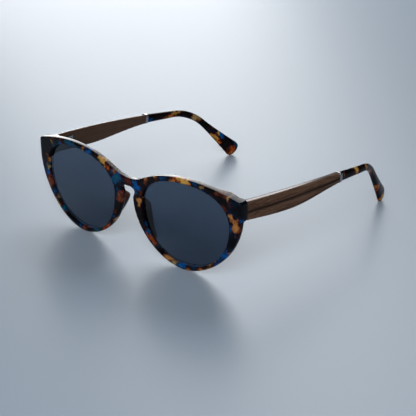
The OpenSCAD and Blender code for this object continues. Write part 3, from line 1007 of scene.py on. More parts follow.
@dataclass(frozen=True)
class WoodFinish(Finish):
    """Satin walnut with its grain along the temple.

    Attributes:
        light, dark, streak: colours of early wood, late wood and the dark band.
        inner: colour of the inner face.
        fall: how far the grain falls towards the rear, in degrees.
        streak_z: height of the dark band at the middle of the row, in millimetres.
        streak_half: distance from its middle at which it fades out and at which it is full, in millimetres.
        sway: how far it wanders, in millimetres.
        stretch: scale of the grain along the temple, against the scale across it.
        streak_mix, inner_mix: strength of the dark band, and of the grain on the inner face.
    """

    light: Colour = (0.2, 0.1, 0.05)
    dark: Colour = (0.1, 0.05, 0.03)
    streak: Colour = (0.03, 0.02, 0.015)
    inner: Colour = (0.03, 0.02, 0.015)
    fall: float = 2.6
    streak_z: float = 34.8
    streak_half: Point2 = (0.9, 0.2)
    sway: float = 1.8
    stretch: float = 0.035
    streak_mix: float = 0.85
    inner_mix: float = 0.7

    def look(self, kit: NodeKit, effects: Effects, place: bpy.types.NodeSocket) -> dict[str, object]:
        """The grain; the mesh tells the inner face and the polished upper edge by attributes.

        Args:
            kit, effects: the material's kit and the shared groups.
            place: the Object coordinates.

        Returns:
            The shader's inputs, apart from its roughness.
        """
        turned = kit.add("ShaderNodeMapping", {"Vector": place, "Rotation": (math.radians(self.fall), 0, 0)})
        along = kit.add("ShaderNodeMapping", {"Vector": turned, "Scale": (1.0, self.stretch, 1.0)})
        fibres = kit.noise(along, 3200.0, 4, 0.65, 0.15)
        bands = kit.noise(along, 760.0, 3, 0.55, 0.2)
        grain = kit.weigh(fibres, bands, 0.55)
        colour = kit.mix(kit.ease(grain, 0.38, 0.64), rgba(self.dark), rgba(self.light))
        height = kit.add("ShaderNodeSeparateXYZ", {0: turned}).outputs[2]
        sway = kit.noise(along, 240.0, 2, 0.5)
        height = kit.math("ADD", height, kit.swing(sway, self.sway * MM))
        off = kit.math("ABSOLUTE", kit.math("SUBTRACT", height, self.streak_z * MM))
        band = kit.ease(off, *(v * MM for v in self.streak_half))
        colour = kit.mix(kit.math("MULTIPLY", band, self.streak_mix), colour, rgba(self.streak))
        face = kit.add("ShaderNodeAttribute", attribute_name="inner_face")
        shade = kit.mix(kit.ease(grain, 0.35, 0.7), rgba(self.inner), rgba(self.dark))
        shade = kit.mix(self.inner_mix, rgba(self.inner), shade)
        edge = kit.add("ShaderNodeAttribute", attribute_name="polished_edge")
        return {
            "Base Color": kit.mix(face.outputs["Fac"], colour, shade),
            "Normal": kit.add("ShaderNodeBump", {"Height": fibres, "Strength": 0.25, "Distance": 0.12 * MM}),
            "Coat Weight": edge.outputs["Fac"],
            "Coat Roughness": 0.12,
            "Specular IOR Level": 0.1,
        }


@dataclass(frozen=True)
class LensFinish(Finish):
    """Tinted lens that what lies behind it shows through.

    Attributes:
        low, high: its tint at the lower and the upper edge.
        fade: heights between which it goes from one to the other, in millimetres.
    """

    low: Colour = (0.03, 0.04, 0.06)
    high: Colour = (0.03, 0.04, 0.06)
    fade: Point2 = (4.0, 46.0)

    def look(self, kit: NodeKit, effects: Effects, place: bpy.types.NodeSocket) -> dict[str, object]:
        """A clear tint that changes with the height.

        Args:
            kit, effects: the material's kit and the shared groups.
            place: the Object coordinates.

        Returns:
            The shader's inputs, apart from its roughness.
        """
        height = kit.add("ShaderNodeSeparateXYZ", {0: place}).outputs[2]
        rise = kit.ease(height, *(v * MM for v in self.fade))
        tint = kit.mix(rise, rgba(self.low), rgba(self.high))
        return {"Base Color": tint, "Transmission Weight": 1.0, "IOR": 1.5, "Specular IOR Level": 0.07}


@dataclass(frozen=True)
class MetalFinish(Finish):
    """Plain or polished steel.

    Attributes:
        colour: its reflecting colour.
        dull: share of it that the brushed lines keep.
    """

    colour: Colour = (0.6, 0.6, 0.6)
    dull: float = 0.86

    def look(self, kit: NodeKit, effects: Effects, place: bpy.types.NodeSocket) -> dict[str, object]:
        """Bare metal with faint brushed lines.

        Args:
            kit, effects: the material's kit and the shared groups.
            place: the Object coordinates.

        Returns:
            The shader's inputs, apart from its roughness.
        """
        brushed = kit.noise(place, 1800.0, 3, 0.6)
        lines = rgba(tuple(self.dull * c for c in self.colour))
        return {"Base Color": kit.mix(brushed, lines, rgba(self.colour)), "Metallic": 1.0}


FRONT_LARGE = (
    (0.0, Tone.AMBER, Tone.OXBLOOD),
    (0.14, Tone.COBALT, Tone.NAVY),
    (0.42, Tone.RUST, Tone.UMBER),
    (0.54, Tone.TEAL, Tone.NAVY),
    (0.74, Tone.CREAM, Tone.OXBLOOD),
    (0.84, Tone.NAVY, Tone.NIGHT),
)
FRONT_SMALL = (
    (0.0, Tone.AMBER, Tone.OXBLOOD),
    (0.14, Tone.OXBLOOD, Tone.UMBER),
    (0.34, Tone.COBALT, Tone.NAVY),
    (0.58, Tone.PLUM, Tone.NIGHT),
    (0.72, Tone.RUST, Tone.OXBLOOD),
    (0.84, Tone.SKY, Tone.COBALT),
    (0.94, Tone.CREAM, Tone.OXBLOOD),
)
TIP_LARGE = (
    (0.0, Tone.HONEY, Tone.FLAME),
    (0.3, Tone.AMBER, Tone.OXBLOOD),
    (0.65, Tone.FLAME, Tone.OXBLOOD),
    (0.9, Tone.COBALT, Tone.NAVY),
)
TIP_SMALL = (
    (0.0, Tone.AMBER, Tone.OXBLOOD),
    (0.4, Tone.FLAME, Tone.UMBER),
    (0.7, Tone.OXBLOOD, Tone.UMBER),
    (0.93, Tone.TEAL, Tone.NAVY),
)

# Patches that stand out in the photograph; each reaches right through the sheet, as far as these half sizes
FRONT_REACH = 14
TIP_REACH = 6
FRONT_PLACED = tuple(
    Patch((x, y, z), (wide, FRONT_REACH, high), tilt, core, edge)
    for x, y, z, wide, high, tilt, core, edge in (
        (0.5, -71, 38.0, 3.6, 2.2, 0, Tone.OXBLOOD, Tone.UMBER),
        (6.0, -71, 36.3, 3.3, 4.4, 20, Tone.SKY, Tone.COBALT),
        (8.7, -71, 28.0, 1.6, 3.0, 0, Tone.AMBER, Tone.OXBLOOD),
        (16.6, -71, 10.6, 4.2, 1.5, 37, Tone.FLAME, Tone.RUST),
        (20.6, -71, 44.2, 1.4, 1.6, 0, Tone.CREAM, Tone.RUST),
        (24.9, -71, 45.8, 3.2, 1.4, -12, Tone.COBALT, Tone.NIGHT),
        (36.5, -70, 47.0, 6.0, 1.6, 0, Tone.HONEY, Tone.FLAME),
        (49.6, -69, 46.4, 1.6, 1.4, 0, Tone.CREAM, Tone.OXBLOOD),
        (59.4, -68, 45.7, 2.4, 1.9, 18, Tone.RUST, Tone.OXBLOOD),
        (71.0, -66, 40.0, 6.6, 5.4, 0, Tone.NIGHT, Tone.NAVY),
        (64.4, -68, 44.6, 1.8, 1.9, 0, Tone.CREAM, Tone.RUST),
        (67.4, -67, 34.6, 2.4, 1.9, 0, Tone.AMBER, Tone.RUST),
        (72.6, -66, 35.3, 2.6, 1.7, 0, Tone.COBALT, Tone.NAVY),
        (69.0, -67, 30.8, 2.4, 3.4, 0, Tone.AMBER, Tone.RUST),
        (67.0, -67, 23.2, 3.8, 5.0, 0, Tone.NIGHT, Tone.NAVY),
        (62.6, -67, 14.2, 3.6, 2.6, -55, Tone.SKY, Tone.COBALT),
        (58.6, -68, 9.0, 3.2, 1.8, -45, Tone.COBALT, Tone.NAVY),
        (52.6, -69, 4.6, 3.4, 1.4, -25, Tone.AMBER, Tone.OXBLOOD),
        (36.0, -69, 1.4, 3.6, 1.8, 0, Tone.SKY, Tone.NAVY),
        (26.3, -69, 3.0, 3.6, 1.6, 22, Tone.AMBER, Tone.OXBLOOD),
        (-5.2, -71, 28.0, 2.2, 2.8, 0, Tone.RUST, Tone.OXBLOOD),
        (-7.8, -71, 36.8, 3.8, 3.3, 0, Tone.TEAL, Tone.COBALT),
        (-13.6, -71, 41.4, 2.3, 2.0, 30, Tone.FLAME, Tone.OXBLOOD),
        (-18.3, -71, 43.4, 2.8, 1.8, 28, Tone.HONEY, Tone.AMBER),
        (-28.4, -71, 46.0, 3.0, 1.8, 10, Tone.SKY, Tone.COBALT),
        (-33.2, -70, 46.6, 1.6, 1.4, 0, Tone.AMBER, Tone.RUST),
        (-43.6, -70, 47.0, 4.4, 1.5, -4, Tone.COBALT, Tone.TEAL),
        (-69.0, -66, 40.0, 10.0, 9.0, 0, Tone.NIGHT, Tone.UMBER),
        (-65.0, -67, 32.0, 1.4, 2.2, 0, Tone.AMBER, Tone.OXBLOOD),
        (-65.6, -67, 27.8, 1.6, 2.2, 0, Tone.CREAM, Tone.TEAL),
        (-63.9, -67, 20.0, 2.0, 3.6, 0, Tone.RUST, Tone.OXBLOOD),
        (-61.2, -68, 14.9, 1.8, 2.2, 0, Tone.COBALT, Tone.NAVY),
        (-57.4, -68, 10.2, 3.4, 1.6, 48, Tone.CREAM, Tone.RUST),
        (-53.0, -68, 6.8, 2.4, 1.6, 40, Tone.TEAL, Tone.NAVY),
        (-38.4, -70, 2.2, 2.0, 1.6, 0, Tone.COBALT, Tone.NAVY),
        (-25.0, -71, 3.6, 4.0, 1.6, -12, Tone.TEAL, Tone.NIGHT),
        (-16.4, -71, 8.2, 3.4, 1.6, -45, Tone.FLAME, Tone.RUST),
        (-9.6, -71, 14.0, 2.8, 1.8, -55, Tone.CREAM, Tone.RUST),
    )
)
TIP_PLACED = tuple(
    Patch((x, y, z), (TIP_REACH, long, high), 0, core, edge, pitch)
    for x, y, z, long, high, pitch, core, edge in (
        (-62.0, 50, 22.5, 5.0, 5.0, 0, Tone.NIGHT, Tone.UMBER),
        (-56.5, 65, 8.5, 6.0, 5.5, 0, Tone.NIGHT, Tone.UMBER),
        (-68.0, 32, 33.3, 4.2, 1.3, 0, Tone.HONEY, Tone.OXBLOOD),
        (-68.8, 26, 31.8, 4.6, 1.5, 0, Tone.AMBER, Tone.FLAME),
        (-64.0, 44.5, 28.0, 3.6, 2.8, 0, Tone.CREAM, Tone.RUST),
        (-59.4, 56.8, 12.8, 4.6, 1.7, -50, Tone.HONEY, Tone.FLAME),
        (-58.6, 58.6, 15.7, 2.0, 1.6, -50, Tone.HONEY, Tone.RUST),
        (-57.9, 60.5, 13.9, 2.6, 1.8, -50, Tone.SKY, Tone.COBALT),
        (-54.6, 70.2, 7.0, 2.3, 3.6, 0, Tone.TEAL, Tone.COBALT),
        (-70.0, 12.8, 33.2, 2.3, 1.7, 0, Tone.SKY, Tone.NAVY),
        (-55.6, 66.9, 3.4, 3.2, 3.4, 0, Tone.FLAME, Tone.OXBLOOD),
        (-55.9, 66.3, 1.2, 2.2, 1.7, 0, Tone.HONEY, Tone.FLAME),
        (69.8, 18, 34.4, 5.0, 4.0, 0, Tone.NIGHT, Tone.UMBER),
        (60.0, 55.5, 19.2, 4.6, 5.0, 0, Tone.NIGHT, Tone.UMBER),
        (56.8, 64, 5.6, 4.0, 3.6, 0, Tone.NIGHT, Tone.UMBER),
        (68.7, 25.0, 34.0, 2.1, 2.4, 0, Tone.HONEY, Tone.RUST),
        (66.8, 35.6, 32.2, 3.2, 2.4, 0, Tone.AMBER, Tone.UMBER),
        (62.3, 49.0, 24.8, 2.2, 3.0, 0, Tone.RUST, Tone.UMBER),
        (56.4, 65.4, 10.6, 3.6, 1.5, 55, Tone.AMBER, Tone.OXBLOOD),
        (55.9, 66.4, 2.6, 2.9, 2.9, 0, Tone.HONEY, Tone.FLAME),
    )
)


class Wardrobe:
    """All finishes of the pair, built once."""

    def __init__(self) -> None:
        """Builds every material."""
        effects = Effects()
        acetate = {"roughness": 0.1, "marks": 0.08}
        front = {"large": FRONT_LARGE, "small": FRONT_SMALL, "cover": (0.78, 0.6), "placed": FRONT_PLACED}
        tip = {"large": TIP_LARGE, "small": TIP_SMALL, "cover": (0.36, 0.34), "placed": TIP_PLACED}
        walnut = {"light": srgb(120, 90, 71), "dark": srgb(66, 46, 36), "inner": srgb(96, 73, 61)}
        smoke = {"low": srgb(52, 67, 87), "high": srgb(62, 78, 99)}
        self.front = AcetateFinish("front acetate", **acetate, **front).build(effects)
        self.tip = AcetateFinish("tip acetate", **acetate, **tip, bend=0.0028, gloss=0.07).build(effects)
        self.wood = WoodFinish("walnut", 0.56, 0.1, streak=srgb(28, 18, 14), **walnut).build(effects)
        self.lens = LensFinish("smoke lens", 0.02, 0.02, **smoke).build(effects)
        self.polished = MetalFinish("polished steel", 0.14, 0.1, srgb(168, 169, 172)).build(effects)
        self.plain = MetalFinish("plain steel", 0.28, 0.12, srgb(128, 129, 132)).build(effects)


# Sizes, in millimetres before the whole is moved to its origin


@dataclass(frozen=True)
class FrontSizes:
    """Driving sizes of the front, as the solids have them.

    Attributes:
        lens_powers: squareness of the lens opening's quarters, from the upper temple side round by the nose.
        brow_shares: handles of the brow's inner curve, as shares of its peak's X.
        shoulder: handles of its outer curve: behind the peak, before the corner and above it.
        notch_shares: handles of the curve from the nose notch up to the keyhole.
    """

    lens_w: float = 55.4
    lens_h: float = 43.2
    lens_t: float = 1.2
    lens_r: float = 265.0
    groove: float = 0.6
    lens_set: float = 0.9
    bridge_w: float = 19.2
    nose_gap: float = 7.8
    keyhole_w: float = 9.9
    bridge_h: float = 4.1
    bridge_drop: float = 6.3
    rim: float = 2.4
    rim_temple: float = 6.8
    thick: float = 3.4
    bow: float = 4.8
    lean: float = 0.6
    end_depth: float = 5.1
    end_h: float = 10.2
    end_drop: float = 2.0
    end_len: float = 9.2
    end_taper: float = 5.0
    end_r: float = 1.5
    keyhole_round: float = 2.2
    hinge_drop: float = 6.1
    pad_out: float = 6.0
    pad_r: float = 2.2
    pad_h: float = 18.5
    pad_spread: float = 8.6
    pad_start_share: float = 0.55
    pad_turn_power: float = 1.7
    pad_crest_power: float = 0.48
    pad_taper: float = 0.4
    neck_share: float = 0.62
    low_share: float = 0.485
    lens_wide_share: float = 0.61
    lens_peak_share: float = 0.53
    lens_low_share: float = 0.46
    lens_powers: tuple[float, ...] = (2.35, 2.15, 2.15, 2.08)
    peak_share: float = 0.565
    side_share: float = 0.73
    rim_power: float = 1.85
    brow_shares: Point2 = (0.32, 0.34)
    shoulder: Point3 = (10, 11.5, 2.8)
    notch_shares: Point2 = (0.4, 0.6)
    keyhole_power: float = 2.6

    @property
    def open_in(self) -> float:
        """X of the lens opening's nose side."""
        return self.bridge_w / 2

    @property
    def open_out(self) -> float:
        """X of the lens opening's temple side."""
        return self.open_in + self.lens_w

    @property
    def open_top(self) -> float:
        """Z of the lens opening's top."""
        return self.rim + self.lens_h

    @property
    def half_w(self) -> float:
        """Half the front's width."""
        return self.open_out + self.rim_temple

    @property
    def top(self) -> float:
        """Z of the front's top."""
        return self.open_top + self.rim

    @property
    def end_top(self) -> float:
        """Z of the end pieces' top."""
        return self.open_top - self.end_drop

    @property
    def end_bottom(self) -> float:
        """Z of the end pieces' underside."""
        return self.end_top - self.end_h

    @property
    def neck_z(self) -> float:
        """Z of the narrowest part of the nose notch."""
        return self.neck_share * self.top

    @property
    def low_x(self) -> float:
        """X of the rim's lowest point."""
        return self.open_in + self.low_share * self.lens_w

    @property
    def bow_r(self) -> float:
        """Radius of the front face."""
        return (self.half_w**2 + self.bow**2) / (2 * self.bow)

    @property
    def pad_peak(self) -> float:
        """Share of a pad's length at which its crest lies."""
        return 0.5 ** (1 / self.pad_crest_power)

    def pad_at(self, share: float) -> Point3:
        """A pad at a share of its length.

        Args:
            share: 0 at its upper end, 1 at its lower end.

        Returns:
            X of its middle, how far it stands out behind the rim there or at its crest below, and its radius.
        """
        start = self.nose_gap / 2 + self.pad_start_share * (self.open_in - self.nose_gap / 2)
        radius = self.pad_r * (1 - self.pad_taper * share)
        crest = math.sin(math.pi * max(share, self.pad_peak) ** self.pad_crest_power)
        middle = start + self.pad_spread * share**self.pad_turn_power
        return middle, radius + (self.pad_out - self.pad_r) * crest, radius

    @property
    def hinge_z(self) -> float:
        """Z of the hinges' middle."""
        return self.end_top - self.hinge_drop

    def bow_y(self, x: np.ndarray) -> np.ndarray:
        """Y of the front face at x."""
        return self.bow_r - self.bow - np.sqrt(self.bow_r**2 - np.square(x))

    @property
    def base_y(self) -> float:
        """Shift of the leaning front, so that the butt face at hinge height is at Y 0."""
        turn, low = math.radians(self.lean), float(self.bow_y(self.low_x))
        return -self.end_depth + self.hinge_z * math.sin(turn) - low * (1 - math.cos(turn))

    def leaning(self, points: np.ndarray) -> np.ndarray:
        """Leans points of the upright front about its lower front edge.

        Args:
            points: the points.

        Returns:
            The leaning points.
        """
        turn, low = math.radians(self.lean), float(self.bow_y(self.low_x))
        y, z = points[:, 1] - low, points[:, 2]
        back = y * math.cos(turn) - z * math.sin(turn) + self.base_y + low
        up = y * math.sin(turn) + z * math.cos(turn)
        return np.stack([points[:, 0], back, up], 1)

    def butt_y(self, z: np.ndarray) -> np.ndarray:
        """Y in the upright front that leans onto the butt plane."""
        turn, low = math.radians(self.lean), float(self.bow_y(self.low_x))
        return low + (z * math.sin(turn) - self.base_y - low) / math.cos(turn)

    def lens_outline(self, grow: float, steps: int = 40) -> np.ndarray:
        """Outline of the left lens opening.

        Args:
            grow: how far it is grown all round.
            steps: points to a quarter.

        Returns:
            The points.
        """
        wide = self.rim + self.lens_wide_share * self.lens_h
        peak = self.open_in + self.lens_peak_share * self.lens_w
        low = self.open_in + self.lens_low_share * self.lens_w
        up, down = self.open_top - wide + grow, wide - self.rim + grow
        quarters = (
            (peak, self.open_out - peak + grow, up),
            (peak, peak - self.open_in + grow, up),
            (low, low - self.open_in + grow, down),
            (low, self.open_out - low + grow, down),
        )
        return np.vstack(
            [
                superellipse((x, wide), (w, h), power, 90 * k, 90 * k + 90, steps)
                for k, ((x, w, h), power) in enumerate(zip(quarters, self.lens_powers))
            ]
        )

    def outline(self, steps: int = 40) -> np.ndarray:
        """Outline of the whole front.

        Args:
            steps: points to a curve of middle length.

        Returns:
            The points.
        """
        peak = self.open_in + self.peak_share * self.lens_w
        brow_in, brow_out = (share * peak for share in self.brow_shares)
        behind, before, above = self.shoulder
        side_z, neck_z, low = self.side_share * self.top, self.neck_z, self.low_x
        bridge_top = self.open_top - self.bridge_drop
        key_top = bridge_top - self.bridge_h
        key_mid = key_top - self.keyhole_round
        gap, key = self.nose_gap / 2, self.keyhole_w / 2
        corner = (self.half_w - self.end_r, self.end_top - self.end_r)
        notch_low, notch_high = (neck_z + share * (key_mid - neck_z) for share in self.notch_shares)
        half = np.vstack(
            [
                cubic((0, bridge_top), (brow_in, bridge_top), (brow_out, self.top), (peak, self.top), steps),
                cubic(
                    (peak, self.top),
                    (peak + behind, self.top),
                    (self.half_w - before, self.end_top + above),
                    (corner[0], self.end_top),
                    steps,
                ),
                superellipse(corner, (self.end_r, self.end_r), 2, 90, 0, steps // 4),
                superellipse((low, side_z), (self.half_w - low, side_z), self.rim_power, 0, -90, 2 * steps),
                superellipse((low, neck_z), (low - gap, neck_z), self.rim_power, -90, -180, 2 * steps),
                cubic((gap, neck_z), (gap, notch_low), (key, notch_high), (key, key_mid), steps // 2),
                superellipse((0, key_mid), (key, self.keyhole_round), self.keyhole_power, 0, 90, steps),
                [[0, key_top]],
            ]
        )
        return np.vstack([half, half[-2:0:-1] * (-1, 1)])


@dataclass(frozen=True)
class TempleSizes:
    """Driving sizes of a temple, as the solids have them.

    Attributes:
        upper_shares: handles of the wood's upper edge, as shares of its fall.
        jaw_shares: handles of the lower edge before the belly: two shares of the length, one of the belly.
        rise_shares: handles of the lower edge behind the belly, as shares of the length.
    """

    wood_len: float = 70.4
    wood_h: float = 9.5
    wood_t: float = 3.6
    bow_r: float = 390.0
    bow_mid: float = 37.5
    inset: float = 0.3
    step: float = 0.8
    drop: float = 3.5
    belly: float = 2.9
    butt_gap: float = 0.03
    ring_len: float = 2.0
    ring_proud: float = 0.2
    tip_h: float = 5.1
    neck: float = 3.9
    neck_t: float = 3.2
    end_h: float = 9.2
    end_t: float = 3.4
    cap: float = 3.6
    slope: float = 5.5
    run: float = 21.0
    bend_r: float = 28.0
    bend: float = 41.0
    wrap: float = 20.0
    wrap_r: float = 40.0
    wrap_from: float = 19.6
    cap_power: float = 2.6
    section_power: float = 2.3
    flare_power: float = 1.35
    shy: float = 0.012
    upper_shares: Point2 = (0.26, 0.6)
    jaw_shares: Point3 = (0.17, 0.34, 0.41)
    rise_shares: Point2 = (0.65, 0.8)

    def bow_axis(self, front: FrontSizes) -> Point2:
        """X and Y of the axis that the left temple is bowed about."""
        return front.half_w - self.inset - math.sqrt(self.bow_r**2 - self.bow_mid**2), self.bow_mid


ORIGIN_Y = TempleSizes.butt_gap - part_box("wood_temple_left")[0].y / MM


def to_row(points: np.ndarray) -> np.ndarray:
    """Moves points from the butt face to the row's origin."""
    return points - (0, ORIGIN_Y, 0)


def loft(name: str, rings: Sequence[np.ndarray], side: Side) -> bpy.types.Object:
    """Makes a closed mesh through rings of points.

    Args:
        name: the piece's name without its side.
        rings: rings of equal count for the left side, in millimetres from the butt face.
        side: the wearer's side; the right one is mirrored.

    Returns:
        The linked object.
    """
    faces = skin_faces(len(rings), len(rings[0]))
    return make_mesh(side.node(name), to_row(np.vstack(rings)), faces, side is Side.RIGHT)


# Sub-assemblies


@dataclass
class Front:
    """The acetate front with its lenses and nose pads.

    Attributes:
        sizes: driving sizes.
        spacing, grid: distance of mesh points along an edge and between the edges.
        outer_rows, lens_rows: rows of points along the outer edge and a lens opening, by distance from it.
        grid_clear: how far the points between stay from the outer edge and from a lens opening.
        edge_front, edge_rear: full rounding of the outer edges, width and depth.
        edge_end: rounding of the rear edge along the top, the bridge and the butt face.
        edge_lens: rounding of the lens opening, at the front and the rear.
        top_zone: heights over which the rear edge turns crisp towards the top.
        side_zone: distances from the side over which it turns crisp towards the butt face.
        bridge_x, bridge_z: X and heights over which it turns crisp towards the bridge.
        bridge_crisp: share of its rounding that it loses there.
        end_lead: how far before its taper the rear face starts to rise to an end piece.
        end_zone: heights over an end piece's underside between which its depth sets in.
        butt_shy: how far the butt face stays in front of the hinge plate's face.
        lens_spacing, lens_rings, lens_core: distance of points along a lens's edge, rings on each of its
            faces, and the innermost ring's share.
        pad_root, pad_sides, pad_rings: depth of a pad in the rim, points round it, and rings along it.
        pad_cap: angles of the rings over a pad's round ends, in degrees.
    """

    wardrobe: Wardrobe
    sizes: FrontSizes = field(default_factory=FrontSizes)
    spacing: float = 0.55
    grid: float = 1.1
    outer_rows: tuple[float, ...] = (0, 0.05, 0.17, 0.36, 0.7, 1.1, 1.6)
    lens_rows: tuple[float, ...] = (0, 0.05, 0.16, 0.32, 0.5)
    grid_clear: Point2 = (2.0, 0.9)
    edge_front: Point2 = (0.7, 0.6)
    edge_rear: Point2 = (1.6, 1.8)
    edge_end: float = 0.35
    edge_lens: Point2 = (0.3, 0.45)
    top_zone: Point2 = (32, 40)
    side_zone: Point2 = (4.5, 1.5)
    bridge_x: Point2 = (15, 8)
    bridge_z: Point2 = (26, 33)
    bridge_crisp: float = 0.8
    end_lead: float = 1
    end_zone: Point2 = (-0.2, 0.9)
    butt_shy: float = 0.03
    lens_spacing: float = 0.8
    lens_rings: int = 14
    lens_core: float = 0.04
    pad_root: float = 0.35
    pad_sides: int = 24
    pad_rings: int = 22
    pad_cap: tuple[float, ...] = (86, 75, 60, 45, 30, 15)

    def build(self) -> None:
        """Makes every piece of the front."""
        self.frame()
        for side in Side:
            self.lens(side)
            self.pad(side)

    def rear_y(self, x: np.ndarray, z: np.ndarray) -> tuple[np.ndarray, np.ndarray]:
        """The rear face of the upright front.

        Args:
            x, z: places on the front.

        Returns:
            Y of the rear face and the share of the thick end piece there.
        """
        s = self.sizes
        full = s.half_w - s.end_len
        share = smoothstep(full - s.end_taper - self.end_lead, full, np.abs(x))
        share = share * smoothstep(*(s.end_bottom + v for v in self.end_zone), z)
        slab = s.bow_y(x) + s.thick
        return slab + (s.butt_y(z) - self.butt_shy - slab) * share, share

    def frame(self) -> None:
        """The rims, bridge and end pieces as one rounded mesh."""
        s = self.sizes
        outer = resample(s.outline(), self.spacing)
        lens = resample(s.lens_outline(0), self.spacing)
        holes = [lens, lens * (-1, 1)]
        flat, faces = self._plan(outer, holes)
        x, z = flat[:, 0], flat[:, 1]
        d_out = distance_to(flat, outer)
        d_lens = np.minimum(distance_to(flat, holes[0]), distance_to(flat, holes[1]))
        rear, share = self.rear_y(x, z)
        full = self._softness(x, z, share)
        width, depth = (self.edge_end + (most - self.edge_end) * full for most in self.edge_rear)
        lens_front, lens_rear = self.edge_lens
        ahead = s.bow_y(x) + rounding(d_out, *self.edge_front) + rounding(d_lens, lens_front, lens_front)
        rear = rear - rounding(d_out, width, depth) - rounding(d_lens, lens_rear, lens_rear)
        points, every = shell(np.stack([x, ahead, z], 1), np.stack([x, rear, z], 1), faces)
        piece = make_mesh("acetate_front", to_row(s.leaning(points)), every)
        settle(piece, "front", "tortoise_acetate", self.wardrobe.front, "front_frame")

    def _plan(self, outer: np.ndarray, holes: Sequence[np.ndarray]) -> tuple[np.ndarray, np.ndarray]:
        """Divides the front, as seen from ahead, into triangles.

        Args:
            outer: its outline.
            holes: the lens openings.

        Returns:
            The points and the triangles.
        """
        loops = [offset(outer, -d) for d in self.outer_rows]
        loops += [offset(hole, d) for hole in holes for d in self.lens_rows]
        points = np.vstack([*loops, self._grid(outer, holes)])
        edges, start = [], 0
        for loop in loops:
            n = len(loop)
            edges += [(start + i, start + (i + 1) % n) for i in range(n)]
            start += n
        flat, _, faces, *_ = delaunay_2d_cdt([Vector(p) for p in points], edges, [], 0, PLAN_WELD, False)
        flat = np.array([tuple(p) for p in flat])
        faces = np.array(faces)
        return flat, faces[between(flat[faces].mean(1), outer, holes)]

    def _grid(self, outer: np.ndarray, holes: Sequence[np.ndarray]) -> np.ndarray:
        """Points between the edge rows, for the broad parts of the front.

        Args:
            outer: its outline.
            holes: the lens openings.

        Returns:
            The points.
        """
        s = self.sizes
        x, z = np.meshgrid(np.arange(-s.half_w, s.half_w, self.grid), np.arange(0, s.top, self.grid))
        points = np.stack([x.ravel(), z.ravel()], 1)
        from_edge, from_lens = self.grid_clear
        return points[between(points, offset(outer, -from_edge), [offset(hole, from_lens) for hole in holes])]

    def _softness(self, x: np.ndarray, z: np.ndarray, share: np.ndarray) -> np.ndarray:
        """How much of its full rounding the rear edge has.

        Args:
            x, z: places on the front.
            share: share of the thick end piece there.

        Returns:
            From 0 for a crisp edge to 1 for a soft one.
        """
        top = smoothstep(*self.top_zone, z)
        side = smoothstep(*(self.sizes.half_w - v for v in self.side_zone), np.abs(x))
        bridge = smoothstep(*self.bridge_x, np.abs(x)) * smoothstep(*self.bridge_z, z)
        full = np.clip(1 - top + top * share * (1 - side), 0, 1) * (1 - share * side)
        return full * (1 - self.bridge_crisp * bridge)

    def lens(self, side: Side) -> None:
        """A smooth lens between two spheres.

        Args:
            side: the wearer's side.
        """
        s = self.sizes
        edge = resample(s.lens_outline(s.groove), self.lens_spacing)
        mid = np.array([s.open_in + s.lens_w / 2, s.rim + s.lens_h / 2])
        turn = math.asin(mid[0] / s.bow_r)
        reach = s.lens_set + s.lens_r
        centre = (mid[0] - math.sin(turn) * reach, float(s.bow_y(mid[0])) + math.cos(turn) * reach, mid[1])
        shares = np.linspace(1, self.lens_core, self.lens_rings)
        rings = []
        for radius, order in ((s.lens_r, shares[::-1]), (s.lens_r - s.lens_t, shares)):
            for share in order:
                x, z = (mid + (edge - mid) * share).T
                y = centre[1] - np.sqrt(radius**2 - (x - centre[0]) ** 2 - (z - centre[2]) ** 2)
                rings.append(s.leaning(np.stack([x, y, z], 1)))
        piece = loft("tinted_lens", rings, side)
        piece.data.set_sharp_from_angle(angle=math.radians(SHARP_LENS))
        settle(piece, "front", "smoke_lens", self.wardrobe.lens, side.node("lens"))

    def pad(self, side: Side) -> None:
        """A nose pad that swells out of the rim's rear face.

        Args:
            side: the wearer's side.
        """
        s = self.sizes
        around = np.linspace(0, 2 * math.pi, self.pad_sides, endpoint=False)
        cap = np.sin(np.radians(self.pad_cap))
        upper, lower = s.pad_at(0)[2], s.pad_at(1)[2]
        body = np.linspace(0, s.pad_h, self.pad_rings)
        rings = []
        for drop in np.concatenate([-upper * cap, body, s.pad_h + lower * cap[::-1]]):
            share = float(np.clip(drop / s.pad_h, 0, 1))
            middle, out, radius = s.pad_at(share)
            end = math.sqrt(1 - ((drop - share * s.pad_h) / radius) ** 2)
            out *= end * smoothstep(-upper, s.pad_peak * s.pad_h, drop)
            x = middle + radius * end * np.cos(around)
            rise = np.where(np.sin(around) > 0, out, self.pad_root) * np.sin(around)
            y, z = s.bow_y(x) + s.thick + rise, np.full(len(x), s.neck_z - drop)
            rings.append(s.leaning(np.stack([x, y, z], 1)))
        piece = loft("nose_rest", rings, side)
        settle(piece, "front", "tortoise_acetate", self.wardrobe.front, side.node("nose_pad"))


